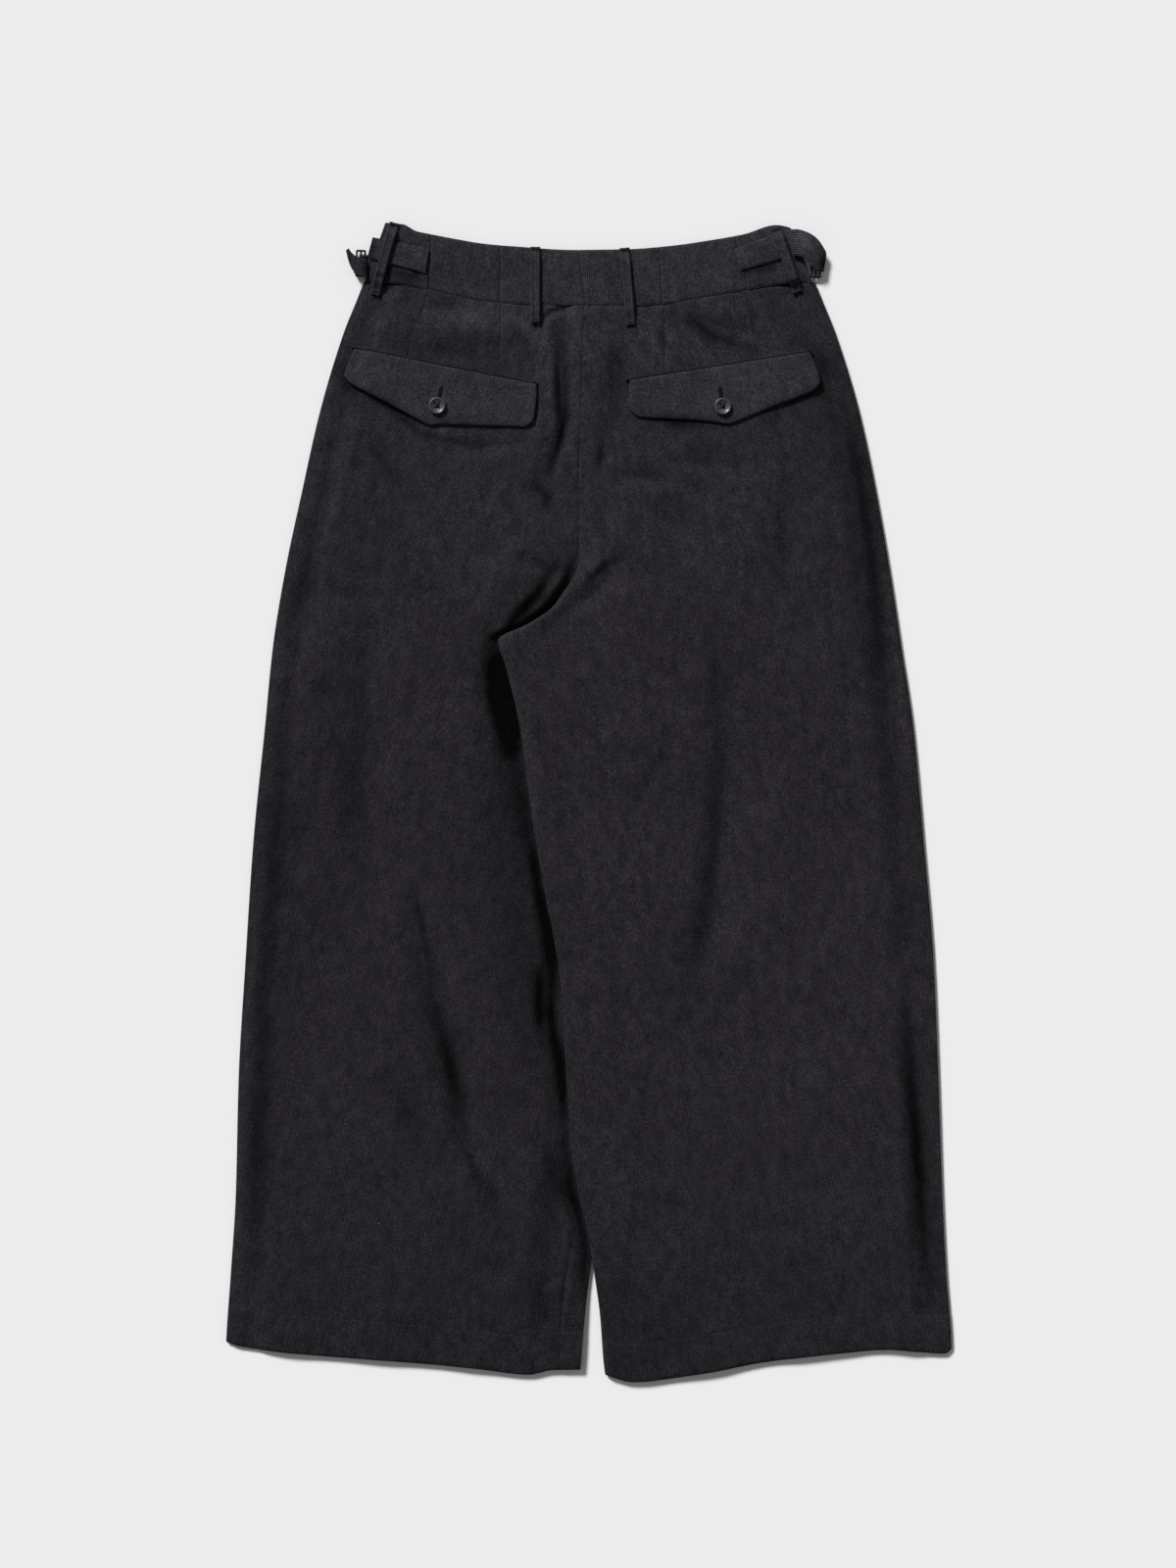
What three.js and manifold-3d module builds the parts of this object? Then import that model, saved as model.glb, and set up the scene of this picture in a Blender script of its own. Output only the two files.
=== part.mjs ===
// Wide-leg corduroy trousers laid flat with the back up, in millimetres.
// +X is to the right of the view, +Y towards the waist and +Z up from the surface that they lie on.
// The two fronts lie on that surface, the backs lie on them, and the right leg lies over the inside
// of the left one. Every panel is a wall of cloth whose top follows one height function.

import * as THREE from "three";
import { mergeVertices } from "three/addons/utils/BufferGeometryUtils.js";
import Module from "manifold-3d";

const wasm = await Module();
wasm.setup();

// Cloth and layers.
const CLOTH = 1.2;
const BAND_CLOTH = 1.8;
const FLAP_CLOTH = 1.8;
const STRAP_CLOTH = 1.4;
const SEAM_GAP = 0.3;
const HALF_GAP = SEAM_GAP / 2;
const WAIST_SEAM_GAP = 0.4;
const MOST_ROOM = 3.4;
const STEEPEST = 0.6;
const COVERED_TOP = 3;
const CROSSING_FLOOR = 3.7;

// The side seams, and the height of the back's cloth away from its folds, from hem to waist.
const SIDES = [
  { y: -520, left: -323.5, right: 323.6, rest: 4.9 },
  { y: -476.8, left: -321.9, right: 322.3, rest: 5.2 },
  { y: -420.2, left: -318, right: 318, rest: 5.6 },
  { y: -350.6, left: -313.6, right: 314.5, rest: 5.7 },
  { y: -246.2, left: -311, right: 311, rest: 5.7 },
  { y: -141.8, left: -304.9, right: 306.7, rest: 5.7 },
  { y: -37.4, left: -298, right: 298, rest: 5.9 },
  { y: 67, left: -287.5, right: 288.4, rest: 6.8 },
  { y: 136.6, left: -280.6, right: 278, rest: 7.6 },
  { y: 206.2, left: -269.3, right: 267.5, rest: 8.2 },
  { y: 275.8, left: -254.5, right: 255.3, rest: 8.2 },
  { y: 345.4, left: -238.8, right: 240.6, rest: 7.8 },
  { y: 415, left: -217.9, right: 219.7, rest: 7 },
  { y: 449.8, left: -204, right: 205.8, rest: 6.4 },
  { y: 520, left: -178, right: 178, rest: 6.2 },
];

// The right back's inner edge: the leg's fold edge, the crotch and the centre back seam.
const RIGHT_BACK_INNER = [
  { y: -520, x: 18.6 },
  { y: -507.2, x: 14.4 },
  { y: -455, x: 10 },
  { y: -420.2, x: 5.2 },
  { y: -385.4, x: -0.4 },
  { y: -350.6, x: -8.3 },
  { y: -315.8, x: -14.4 },
  { y: -246.2, x: -19.6 },
  { y: -176.6, x: -23.1 },
  { y: -141.8, x: -27.4 },
  { y: -72.2, x: -40.5 },
  { y: -2.6, x: -51.8 },
  { y: 67, x: -61.3 },
  { y: 119.2, x: -73.5 },
  { y: 142.7, x: -80.5 },
  { y: 156.6, x: -54 },
  { y: 171.4, x: -32 },
  { y: 185.3, x: -22 },
  { y: 202.7, x: -11.2 },
  { y: 218.4, x: -8.3 },
  { y: 275.8, x: -8.5 },
  { y: 345.4, x: -6.5 },
  { y: 405.4, x: -4.8 },
  { y: 470, x: -3 },
];

// The left leg's inner edge, which the right leg hides above its lowest quarter.
const LEFT_LEG_INNER = [
  { y: -515, x: -7.8 },
  { y: -455, x: -3 },
  { y: -411.5, x: 2.2 },
  { y: -333, x: 10 },
  { y: -246, x: 18.7 },
  { y: -72, x: 32.6 },
  { y: 30, x: 40.5 },
  { y: 84.4, x: 41 },
  { y: 119, x: 27.4 },
  { y: 154, x: 12.6 },
];
const CROTCH = { x: -0.4, y: 183.6 };

// The left back's inner edge above the crotch, up to the centre back seam.
const LEFT_BACK_CROTCH = [
  { y: 183.6, x: -0.4 },
  { y: 204, x: -7 },
  { y: 214, x: -8.6 },
];

// The shield behind the fly, on the inside of the fronts.
const FLY_SHIELD = { from: -4, to: 34, end: 262, bottomWidth: 20, cloth: 1.2 };

// The right front's front edge above the leg, over the crotch to the centre front.
const RIGHT_FRONT_CROTCH = [
  { y: 142.7, x: -79.5 },
  { y: 152, x: -58 },
  { y: 166, x: -30 },
  { y: 183.6, x: 0.2 },
  { y: 205, x: 0.2 },
];

// The lower edges of both hems.
const HEM = [
  { x: -323, y: -481 },
  { x: -309.3, y: -485.5 },
  { x: -239.7, y: -493.3 },
  { x: -170.1, y: -498.5 },
  { x: -100.5, y: -504.6 },
  { x: -51.8, y: -510.2 },
  { x: -30.9, y: -506 },
  { x: -7, y: -505.5 },
  { x: 14.4, y: -511 },
  { x: 34.4, y: -516.8 },
  { x: 90.9, y: -510.7 },
  { x: 160.5, y: -498.5 },
  { x: 230.1, y: -490.7 },
  { x: 264.9, y: -488.1 },
  { x: 318, y: -491.6 },
  { x: 324, y: -486 },
];

// The seam under the waistband and the waistband's top edge, at the back.
const WAIST = [
  { x: -206, seam: 460.6, top: 508 },
  { x: -185, seam: 460, top: 513.6 },
  { x: -165, seam: 458, top: 513 },
  { x: -138.8, seam: 453, top: 503.6 },
  { x: -119.6, seam: 448.8, top: 499 },
  { x: -95, seam: 443.6, top: 494.9 },
  { x: -68, seam: 440.9, top: 492.3 },
  { x: -10, seam: 439.4, top: 489 },
  { x: 41.3, seam: 439, top: 490 },
  { x: 69.2, seam: 441, top: 492.2 },
  { x: 95, seam: 445.2, top: 495.6 },
  { x: 137.9, seam: 452.6, top: 503 },
  { x: 167.5, seam: 457.8, top: 511.4 },
  { x: 185, seam: 460, top: 507 },
  { x: 206, seam: 460.6, top: 494 },
];
const FRONT_WAIST = { middle: 432, rise: 24, at: 200, band: 47 };
const HEM_MIDDLE = -495;
const WAIST_MIDDLE = 448;

// The seams that divide the waistband, with its two side edges first and last.
const BAND_SEAMS = [
  { bottom: -199.2, top: -180.5 },
  { bottom: -141.8, top: -139.6 },
  { bottom: -78.7, top: -77.9 },
  { bottom: -3, top: -8.6 },
  { bottom: 65.7, top: 62.2 },
  { bottom: 140.5, top: 136.2 },
  { bottom: 199.7, top: 179.7 },
];
const BAND_EDGE_TOP = BAND_CLOTH + SEAM_GAP + BAND_CLOTH;
const BAND_EDGE_WIDTH = 24;
const BAND_FOLD_SHARE = 0.3;
const BAND_PIECES = [
  "waistband_side_left",
  "waistband_back_left_outer",
  "waistband_back_left_inner",
  "waistband_back_right_inner",
  "waistband_back_right_outer",
  "waistband_side_right",
];

// The largest folds of the back: the line of each, its half width and its height above or below.
const FOLDS = [
  { line: [[-22, 436], [-25.7, 410], [-23.9, 378], [-23, 328], [-37.8, 284]], width: 7, height: -3.4 },
  { line: [[-38, 428], [-39, 380], [-38, 330], [-52, 290]], width: 9, height: 1.8 },
  { line: [[-52, 281], [-36, 256]], width: 7, height: -1.8 },
  { line: [[23, 408], [23, 338], [11, 297]], width: 9, height: -1.9 },
  { line: [[98, 425], [150, 411]], width: 8, height: -1.6 },
  { line: [[-157, 431], [-81, 417]], width: 9, height: 1.6 },
  { line: [[-74, 433], [-45, 402]], width: 8, height: 1.6 },
  { line: [[-130, 317], [-68, 317]], width: 10, height: -1.9 },
  { line: [[28, 292], [75, 292]], width: 10, height: -1.5 },
  { line: [[87, 303], [135, 304]], width: 10, height: -1.5 },
  { line: [[63, 257], [93, 236]], width: 8, height: -1.4 },
  { line: [[-194, 321], [-163, 274]], width: 10, height: -1.9 },
  { line: [[173, 269], [174, 176]], width: 11, height: -1.5 },
  { line: [[115, 154], [115, -97], [87, -160]], width: 13, height: -1.5 },
  { line: [[17, -85], [17, -229]], width: 12, height: -1.1 },
  { line: [[-158, -88], [-140, -185], [-121, -272], [-107, -316]], width: 13, height: -2.2 },
  { line: [[-205, 224], [-205, -3]], width: 16, height: -1.3 },
  { line: [[-29, -300], [-41, -442]], width: 10, height: -1.2 },
  { line: [[18, 214], [-8, 192], [-34, 166], [-66, 144]], width: 11, height: 3.2 },
  { line: [[34, 216], [10, 190]], width: 7, height: -2.2 },
  { line: [[-64, 124], [-50, 60], [-34, -20], [-18, -90]], width: 13, height: 2.6 },
  { line: [[-58, 222], [-76, 192], [-102, 160]], width: 14, height: 1.6 },
];
const FOLD_END = 0.35;

// The side edges of the back: a pressed strip, a shallow channel and the rise to the flat of the leg.
const EDGE_TOP = CLOTH + SEAM_GAP + CLOTH;
const EDGE = [
  { in: 0, share: 0 },
  { in: 7, share: 0.42 },
  { in: 12, share: 0.45 },
  { in: 21, share: 0.24 },
  { in: 38, share: 0.94 },
  { in: 60, share: 1 },
];

// How far the left leg's cloth takes to rise beside the right leg that lies on it.
const BESIDE = [
  { y: -520, reach: 10 },
  { y: -316, reach: 14 },
  { y: -142, reach: 24 },
  { y: 58, reach: 36 },
  { y: 142, reach: 22 },
  { y: 206, reach: 16 },
  { y: 240, reach: 16 },
];
const BESIDE_FLAT = 14;
const LAYERS_CLEAR = 0.3;
const COVER_FULL = 206;
const COVER_NONE = 234;

// Flaps of the back pockets, each from its outer top corner towards the centre.
const FLAP_LENGTH = 164;
const FLAP = [
  { along: 0, depth: 27 },
  { along: 40, depth: 41.5 },
  { along: 72, depth: 50.5 },
  { along: 84, depth: 53.5 },
  { along: 96, depth: 50.8 },
  { along: 124, depth: 43.4 },
  { along: 150, depth: 39 },
  { along: 159, depth: 35 },
  { along: 164, depth: 26 },
];
const FLAPS = [
  { name: "left", corner: [-209, 401.6], turn: -0.1984, inward: 1 },
  { name: "right", corner: [196.4, 397.9], turn: 0.156, inward: -1 },
];
const WELT_WIDTH = 2.6;
const WELT_CLOTH = 1.4;
const WELT_OVERHANG = 1.5;

// Buttons with a rim and four holes.
const BUTTON_RADIUS = 7.5;
const BUTTON_HEIGHT = 2.6;
const BUTTON_DISH = 0.7;
const BUTTON_RIM = 1.7;
const BUTTON_HOLE = 0.8;
const BUTTON_HOLE_OUT = 1.8;
const BUTTON_ALONG = 84;
const BUTTON_DEPTH = 36.3;
const BUTTON_SIDES = 24;

// Belt loops from their sewn foot to their folded top, with how far they stand off between.
const LOOP_WIDTH = 9;
const LOOP_CLOTH = 1.2;
const LOOP_ROOM = 1.5;
const LOOP_ROWS = [0, 0.06, 0.13, 0.2, 0.32, 0.44, 0.56, 0.68, 0.8, 0.87, 0.94, 1];
const LOOPS = [
  { name: "belt_loop_side_left", foot: [-189.4, 449], head: [-173.6, 506] },
  { name: "belt_loop_centre_left", foot: [-47.2, 424.1], head: [-47.2, 488.8] },
  { name: "belt_loop_centre_right", foot: [37.6, 422], head: [32.1, 487.4] },
  { name: "belt_loop_side_right", foot: [185.4, 451.5], head: [166.8, 503.5] },
];

// Side adjusters: the tab sewn on the back waistband, the buckle, and the front strap's curled end.
const TABS = [
  { name: "adjuster_tab_left", sewn: [-140.9, 489, -144.2, 467.2], end: [-191.6, 500.4, -196.4, 482.4] },
  { name: "adjuster_tab_right", sewn: [129, 489.4, 135, 470.2], end: [172.3, 505.2, 180.2, 482.8] },
];
const CURL_LEFT = [
  { topX: -188.7, topY: 484, bottomX: -195.4, bottomY: 467, z: 0.1 },
  { topX: -208, topY: 487, bottomX: -207, bottomY: 468, z: 0.1 },
  { topX: -211.6, topY: 489, bottomX: -209, bottomY: 468, z: 1.2 },
  { topX: -213.4, topY: 489.5, bottomX: -210.6, bottomY: 467, z: 3.3 },
  { topX: -211.6, topY: 490, bottomX: -208, bottomY: 465.6, z: 5.6 },
  { topX: -206.4, topY: 489, bottomX: -203.6, bottomY: 464.8, z: 6.6 },
  { topX: -200.8, topY: 487, bottomX: -199.6, bottomY: 465.4, z: 6.4 },
];
const CURL_RIGHT = [
  { topX: 173.9, topY: 506.2, bottomX: 181.8, bottomY: 483.2, z: 7.2 },
  { topX: 183, topY: 506.5, bottomX: 188, bottomY: 481.5, z: 8.8 },
  { topX: 192, topY: 502, bottomX: 194, bottomY: 479.5, z: 9.4 },
  { topX: 201, topY: 494.5, bottomX: 199.5, bottomY: 477, z: 8.6 },
  { topX: 207.8, topY: 486.5, bottomX: 206, bottomY: 474.5, z: 6.4 },
  { topX: 210.8, topY: 482, bottomX: 209.8, bottomY: 473, z: 3.8 },
  { topX: 210, topY: 483, bottomX: 209, bottomY: 472.5, z: 1.2 },
  { topX: 206, topY: 484, bottomX: 205.4, bottomY: 473, z: 0.1 },
  { topX: 200.5, topY: 486, bottomX: 199.5, bottomY: 474, z: 0.1 },
];
const BUCKLE = { width: 9, length: 24, bar: 1.6, thick: 1.6, corner: 1.4 };
const BUCKLES = [
  { name: "adjuster_buckle_left", at: [-202.5, 477.6], turn: -0.03 },
  { name: "adjuster_buckle_right", at: [201.9, 476.6], turn: 0.02 },
];

// Numbers of squares in each wall of cloth.
const BACK_EDGE_COLUMNS = [0, 0.02, 0.045, 0.078, 0.118, 0.165];
const BACK_COLUMNS = 14;
const BACK_LEG_ROWS = 19;
const BACK_SEAT_ROWS = 23;
const SEAT_FROM = 0.658;
const FRONT_COLUMNS = 13;
const FRONT_LEG_ROWS = 11;
const FRONT_SEAT_ROWS = 13;

// A smooth curve through one column of a table, read at a value of another column.
function curve(table, from, to) {
  const xs = table.map((row) => row[from]);
  const ys = table.map((row) => row[to]);
  const steps = xs.slice(1).map((x, i) => (ys[i + 1] - ys[i]) / (x - xs[i]));
  const slopes = xs.map((x, i) => {
    if (i === 0 || i === xs.length - 1) return steps[Math.min(i, steps.length - 1)];
    if (steps[i - 1] * steps[i] <= 0) return 0;
    return (2 * steps[i - 1] * steps[i]) / (steps[i - 1] + steps[i]);
  });
  return (at) => {
    const x = THREE.MathUtils.clamp(at, xs[0], xs[xs.length - 1]);
    let i = 0;
    while (i < xs.length - 2 && x > xs[i + 1]) i += 1;
    const span = xs[i + 1] - xs[i];
    const t = (x - xs[i]) / span;
    const rest = 1 - t;
    return (
      ys[i] * (1 + 2 * t) * rest * rest +
      ys[i + 1] * t * t * (3 - 2 * t) +
      span * t * rest * (slopes[i] * rest - slopes[i + 1] * t)
    );
  };
}

const { lerp, smoothstep } = THREE.MathUtils;
const sideLeft = curve(SIDES, "y", "left");
const sideRight = curve(SIDES, "y", "right");
const restHeight = curve(SIDES, "y", "rest");
const rightBackInner = curve(RIGHT_BACK_INNER, "y", "x");
const leftLegInner = curve([...LEFT_LEG_INNER, CROTCH], "y", "x");
const leftBackCrotch = curve(LEFT_BACK_CROTCH, "y", "x");
const rightFrontCrotch = curve(RIGHT_FRONT_CROTCH, "y", "x");
const hemEdge = curve(HEM, "x", "y");
const waistSeam = curve(WAIST, "x", "seam");
const waistTop = curve(WAIST, "x", "top");
const edgeShare = curve(EDGE, "in", "share");
const besideReach = curve(BESIDE, "y", "reach");
const flapDepth = curve(FLAP, "along", "depth");

// The inner edges of the four panels, each half a seam's gap from the panel that it is sewn to.
function backLeftEdge(y) {
  if (y > LEFT_BACK_CROTCH[2].y) return rightBackInner(y) - SEAM_GAP;
  return y > CROTCH.y ? leftBackCrotch(y) : leftLegInner(y);
}

function frontLeftEdge(y) {
  return y > CROTCH.y ? CROTCH.x : leftLegInner(y);
}

function frontRightEdge(y) {
  return y > RIGHT_FRONT_CROTCH[0].y ? rightFrontCrotch(y) : rightBackInner(y) + 0.6;
}

// The nearest place on a fold's line: its distance, and how far along the line it is.
function nearestOn(line, x, y) {
  const parts = line.length - 1;
  let best = { away: Infinity, along: 0 };
  for (let i = 0; i < parts; i += 1) {
    const [ax, ay] = line[i];
    const [bx, by] = line[i + 1];
    const lengthSquared = (bx - ax) ** 2 + (by - ay) ** 2;
    const t = THREE.MathUtils.clamp(((x - ax) * (bx - ax) + (y - ay) * (by - ay)) / lengthSquared, 0, 1);
    const away = Math.hypot(x - lerp(ax, bx, t), y - lerp(ay, by, t));
    if (away < best.away) best = { away, along: (i + t) / parts };
  }
  return best;
}

function folds(x, y) {
  return FOLDS.reduce((sum, fold) => {
    const { away, along } = nearestOn(fold.line, x, y);
    const fade = lerp(FOLD_END, 1, Math.sin(Math.PI * along));
    return sum + fold.height * fade * Math.exp(-((away / fold.width) ** 2));
  }, 0);
}

// How high the right front runs over the left leg, and how it comes down beside it.
function crossing(x, y) {
  const beside = y > CROTCH.y ? Math.max(0, x - CROTCH.x) : x - leftLegInner(y);
  const away = y > CROTCH.y ? Math.hypot(beside, y - CROTCH.y) : beside;
  const level = lerp(28, 50, smoothstep(y, 60, 130));
  return CROSSING_FLOOR * (1 - smoothstep(away, level, level + 20)) * smoothstep(y, -480, -425);
}

// The top of the back's cloth.
function backHeight(x, y, left) {
  const inFromSide = left ? x - sideLeft(y) : sideRight(y) - x;
  const share = edgeShare(THREE.MathUtils.clamp(inFromSide, 0, 60));
  const open = restHeight(y) + folds(x, y);
  const height = lerp(EDGE_TOP, Math.max(open, EDGE_TOP + CLOTH), share);
  if (!left) return Math.max(height, crossing(x, y) + EDGE_TOP + LAYERS_CLEAR);
  const cover = 1 - smoothstep(y, COVER_FULL, COVER_NONE);
  const before = rightBackInner(y) - x - BESIDE_FLAT;
  const free = smoothstep(before, 0, besideReach(y));
  return lerp(height, lerp(COVERED_TOP, height, free), cover);
}

// The underside of the front's cloth, which is flat but where the seat's folds lift it.
function frontFloor(x, y, left) {
  let least = Infinity;
  for (const dx of [-22, 0, 22]) {
    for (const dy of [-18, 0, 18]) least = Math.min(least, backHeight(x + dx, y + dy, left));
  }
  const lift = Math.max(0, least - CLOTH - MOST_ROOM - CLOTH);
  return left ? lift : Math.max(lift, crossing(x, y));
}

// A closed wall between a grid of outer points and a grid of inner ones.
function closedWall(outer, inner) {
  const rows = outer.length;
  const columns = outer[0].length;
  const corners = [];
  const face = (a, b, c, d) => corners.push(a, b, c, a, c, d);
  for (let j = 0; j < rows - 1; j += 1) {
    for (let i = 0; i < columns - 1; i += 1) {
      face(outer[j][i], outer[j][i + 1], outer[j + 1][i + 1], outer[j + 1][i]);
      face(inner[j][i], inner[j + 1][i], inner[j + 1][i + 1], inner[j][i + 1]);
    }
  }
  for (let i = 0; i < columns - 1; i += 1) {
    face(inner[0][i], inner[0][i + 1], outer[0][i + 1], outer[0][i]);
    face(outer[rows - 1][i], outer[rows - 1][i + 1], inner[rows - 1][i + 1], inner[rows - 1][i]);
  }
  for (let j = 0; j < rows - 1; j += 1) {
    face(outer[j][0], outer[j + 1][0], inner[j + 1][0], inner[j][0]);
    face(inner[j][columns - 1], inner[j + 1][columns - 1], outer[j + 1][columns - 1], outer[j][columns - 1]);
  }
  const geometry = new THREE.BufferGeometry().setFromPoints(corners);
  geometry.computeVertexNormals();
  return geometry;
}

// The direction square to a grid at one of its points.
function squareTo(grid, j, i) {
  const last = grid.length - 1;
  const end = grid[0].length - 1;
  const across = grid[j][Math.min(i + 1, end)].clone().sub(grid[j][Math.max(i - 1, 0)]);
  const along = grid[Math.min(j + 1, last)][i].clone().sub(grid[Math.max(j - 1, 0)][i]);
  return across.cross(along).normalize();
}

// Cloth that lies: its plan comes from a function and its top from a height, and its underside is
// below the top by the cloth's thickness measured square to it.
function laidCloth(columns, rows, plan, top, thickness) {
  const outer = rows.map((v) =>
    columns.map((u) => {
      const [x, y] = plan(u, v);
      return new THREE.Vector3(x, y, top(x, y, u, v));
    }),
  );
  const inner = outer.map((row, j) =>
    row.map((point, i) => {
      const drop = thickness / Math.max(squareTo(outer, j, i).z, STEEPEST);
      return new THREE.Vector3(point.x, point.y, point.z - drop);
    }),
  );
  return closedWall(outer, inner);
}

// Cloth that rises from a floor, for the layers that lie on the surface.
function flooredCloth(columns, rows, plan, floor, thickness) {
  return laidCloth(columns, rows, plan, (x, y) => floor(x, y) + thickness, thickness);
}

const steps = (count, from = 0, to = 1) =>
  Array.from({ length: count + 1 }, (_, i) => lerp(from, to, i / count));
const withSeat = (legRows, seatRows) => [
  ...steps(legRows, 0, SEAT_FROM),
  ...steps(seatRows, SEAT_FROM, 1).slice(1),
];
const backColumns = [...BACK_EDGE_COLUMNS, ...steps(BACK_COLUMNS, BACK_EDGE_COLUMNS.at(-1), 1).slice(1)];
const mirrored = (columns) => columns.map((u) => 1 - u).reverse();

const frontSeam = (x) => FRONT_WAIST.middle + FRONT_WAIST.rise * (x / FRONT_WAIST.at) ** 2;
const frontTop = (x) => frontSeam(x) + FRONT_WAIST.band;

// The plan of a leg panel between its two side edges, from the hem to the seam under the waistband.
function legPlan(leftEdge, rightEdge, seam) {
  return (u, v) => {
    const hemX = lerp(leftEdge(HEM_MIDDLE), rightEdge(HEM_MIDDLE), u);
    const waistY = seam(lerp(leftEdge(WAIST_MIDDLE), rightEdge(WAIST_MIDDLE), u));
    const waistX = lerp(leftEdge(waistY), rightEdge(waistY), u);
    const y = lerp(hemEdge(hemX), seam(waistX) - WAIST_SEAM_GAP, v);
    return [lerp(leftEdge(y), rightEdge(y), u), y];
  };
}

const corduroy = new THREE.MeshStandardMaterial({ color: 0x29272b, roughness: 0.95, metalness: 0 });
const trimCloth = new THREE.MeshStandardMaterial({ color: 0x2f2f34, roughness: 0.92, metalness: 0 });
const buttonMaterial = new THREE.MeshStandardMaterial({ color: 0x4f4f54, roughness: 0.5, metalness: 0 });
const metal = new THREE.MeshStandardMaterial({ color: 0x3a3a3e, roughness: 0.35, metalness: 0.9 });

const trousers = new THREE.Group();

function addPiece(name, geometry, material) {
  const mesh = new THREE.Mesh(geometry, material.clone());
  mesh.name = name;
  trousers.add(mesh);
  return mesh;
}

// The four leg panels.
function legPanels() {
  const backRows = withSeat(BACK_LEG_ROWS, BACK_SEAT_ROWS);
  const frontRows = withSeat(FRONT_LEG_ROWS, FRONT_SEAT_ROWS);
  const frontColumns = steps(FRONT_COLUMNS);
  const backLeft = laidCloth(
    backColumns,
    backRows,
    legPlan(sideLeft, backLeftEdge, waistSeam),
    (x, y) => backHeight(x, y, true),
    CLOTH,
  );
  const backRight = laidCloth(
    mirrored(backColumns),
    backRows,
    legPlan(rightBackInner, sideRight, waistSeam),
    (x, y) => backHeight(x, y, false),
    CLOTH,
  );
  const frontLeft = flooredCloth(
    frontColumns,
    frontRows,
    legPlan(sideLeft, frontLeftEdge, frontSeam),
    (x, y) => frontFloor(x, y, true),
    CLOTH,
  );
  const frontRight = flooredCloth(
    frontColumns,
    frontRows,
    legPlan(frontRightEdge, sideRight, frontSeam),
    (x, y) => frontFloor(x, y, false),
    CLOTH,
  );
  const fronts = [addPiece("front_left", frontLeft, corduroy), addPiece("front_right", frontRight, corduroy)];
  return {
    fronts,
    left: addPiece("back_left", backLeft, corduroy),
    right: addPiece("back_right", backRight, corduroy),
  };
}

function flyShield(fronts) {
  const { from, to, end, bottomWidth, cloth } = FLY_SHIELD;
  const plan = (u, v) => {
    const width = lerp(bottomWidth, to - from, Math.min(1, v * 5));
    return [from + width * u, lerp(end, frontSeam(0) - WAIST_SEAM_GAP, v)];
  };
  const top = (x, y) => topOf(fronts, x, y, 6) + SEAM_GAP + cloth;
  addPiece("fly_shield", laidCloth(steps(3), steps(10), plan, top, cloth), corduroy);
}

// The waistband: six pieces at the back and two at the front.
const bandEdge = (seam, y) => {
  const low = waistSeam(seam.bottom);
  return lerp(seam.bottom, seam.top, (y - low) / (waistTop(seam.top) - low));
};

function bandHeight(x, y) {
  const fromLeft = x - bandEdge(BAND_SEAMS[0], y);
  const fromRight = bandEdge(BAND_SEAMS.at(-1), y) - x;
  const middle = restHeight(y) + BAND_FOLD_SHARE * folds(x, WAIST_MIDDLE);
  return lerp(BAND_EDGE_TOP, middle, smoothstep(Math.min(fromLeft, fromRight), 0, BAND_EDGE_WIDTH));
}

function bandPiece(name, from, to, columns, lower, upper, top) {
  const plan = (u, v) => {
    const foot = lerp(from.bottom, to.bottom, u);
    const head = lerp(from.top, to.top, u);
    return [lerp(foot, head, v) + lerp(HALF_GAP, -HALF_GAP, u), lerp(lower(foot) + HALF_GAP, upper(head), v)];
  };
  return addPiece(name, laidCloth(steps(columns), steps(4), plan, top, BAND_CLOTH), trimCloth);
}

function waistband() {
  const flat = () => BAND_CLOTH;
  const centre = { bottom: 0, top: 0 };
  bandPiece("waistband_front_left", BAND_SEAMS[0], centre, 8, frontSeam, frontTop, flat);
  bandPiece("waistband_front_right", centre, BAND_SEAMS.at(-1), 8, frontSeam, frontTop, flat);
  return BAND_PIECES.map((name, i) =>
    bandPiece(name, BAND_SEAMS[i], BAND_SEAMS[i + 1], 5, waistSeam, waistTop, bandHeight),
  );
}

// The highest point of the pieces below, at and round a place.
const probe = new THREE.Raycaster();
const ABOVE = 60;
const DOWN = new THREE.Vector3(0, 0, -1);

function topOf(meshes, x, y, reach) {
  let highest = -Infinity;
  for (const dx of [-reach, 0, reach]) {
    for (const dy of [-reach, 0, reach]) {
      probe.set(new THREE.Vector3(x + dx, y + dy, ABOVE), DOWN);
      const [hit] = probe.intersectObjects(meshes, false);
      if (hit) highest = Math.max(highest, hit.point.z);
    }
  }
  return highest;
}

// The place on a flap that is so far along its top edge from the outer corner, and so far down.
function flapPoint(flap, along, down) {
  const cos = Math.cos(flap.turn);
  const sin = Math.sin(flap.turn);
  const run = along * flap.inward;
  return [flap.corner[0] + run * cos + down * sin, flap.corner[1] + run * sin - down * cos];
}

function pocketFlap(flap, panel) {
  const columns = FLAP.flatMap(({ along }, i) => (i ? [(along + FLAP[i - 1].along) / 2, along] : [along]));
  const across = flap.inward > 0 ? columns : [...columns].reverse();
  const place = (along, v) => flapPoint(flap, along, flapDepth(along) * (1 - v));
  const top = (x, y) => topOf([panel], x, y, 6) + SEAM_GAP + FLAP_CLOTH;
  const mesh = addPiece(`flap_${flap.name}`, laidCloth(across, steps(5), place, top, FLAP_CLOTH), trimCloth);

  const weltPlace = (u, v) => {
    const along = lerp(-WELT_OVERHANG, FLAP_LENGTH + WELT_OVERHANG, flap.inward > 0 ? u : 1 - u);
    return flapPoint(flap, along, -SEAM_GAP - WELT_WIDTH * v);
  };
  const weltTop = (x, y) => topOf([panel], x, y, 6) + SEAM_GAP + WELT_CLOTH;
  addPiece(`welt_${flap.name}`, laidCloth(steps(14), steps(1), weltPlace, weltTop, WELT_CLOTH), trimCloth);
  return mesh;
}

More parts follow.
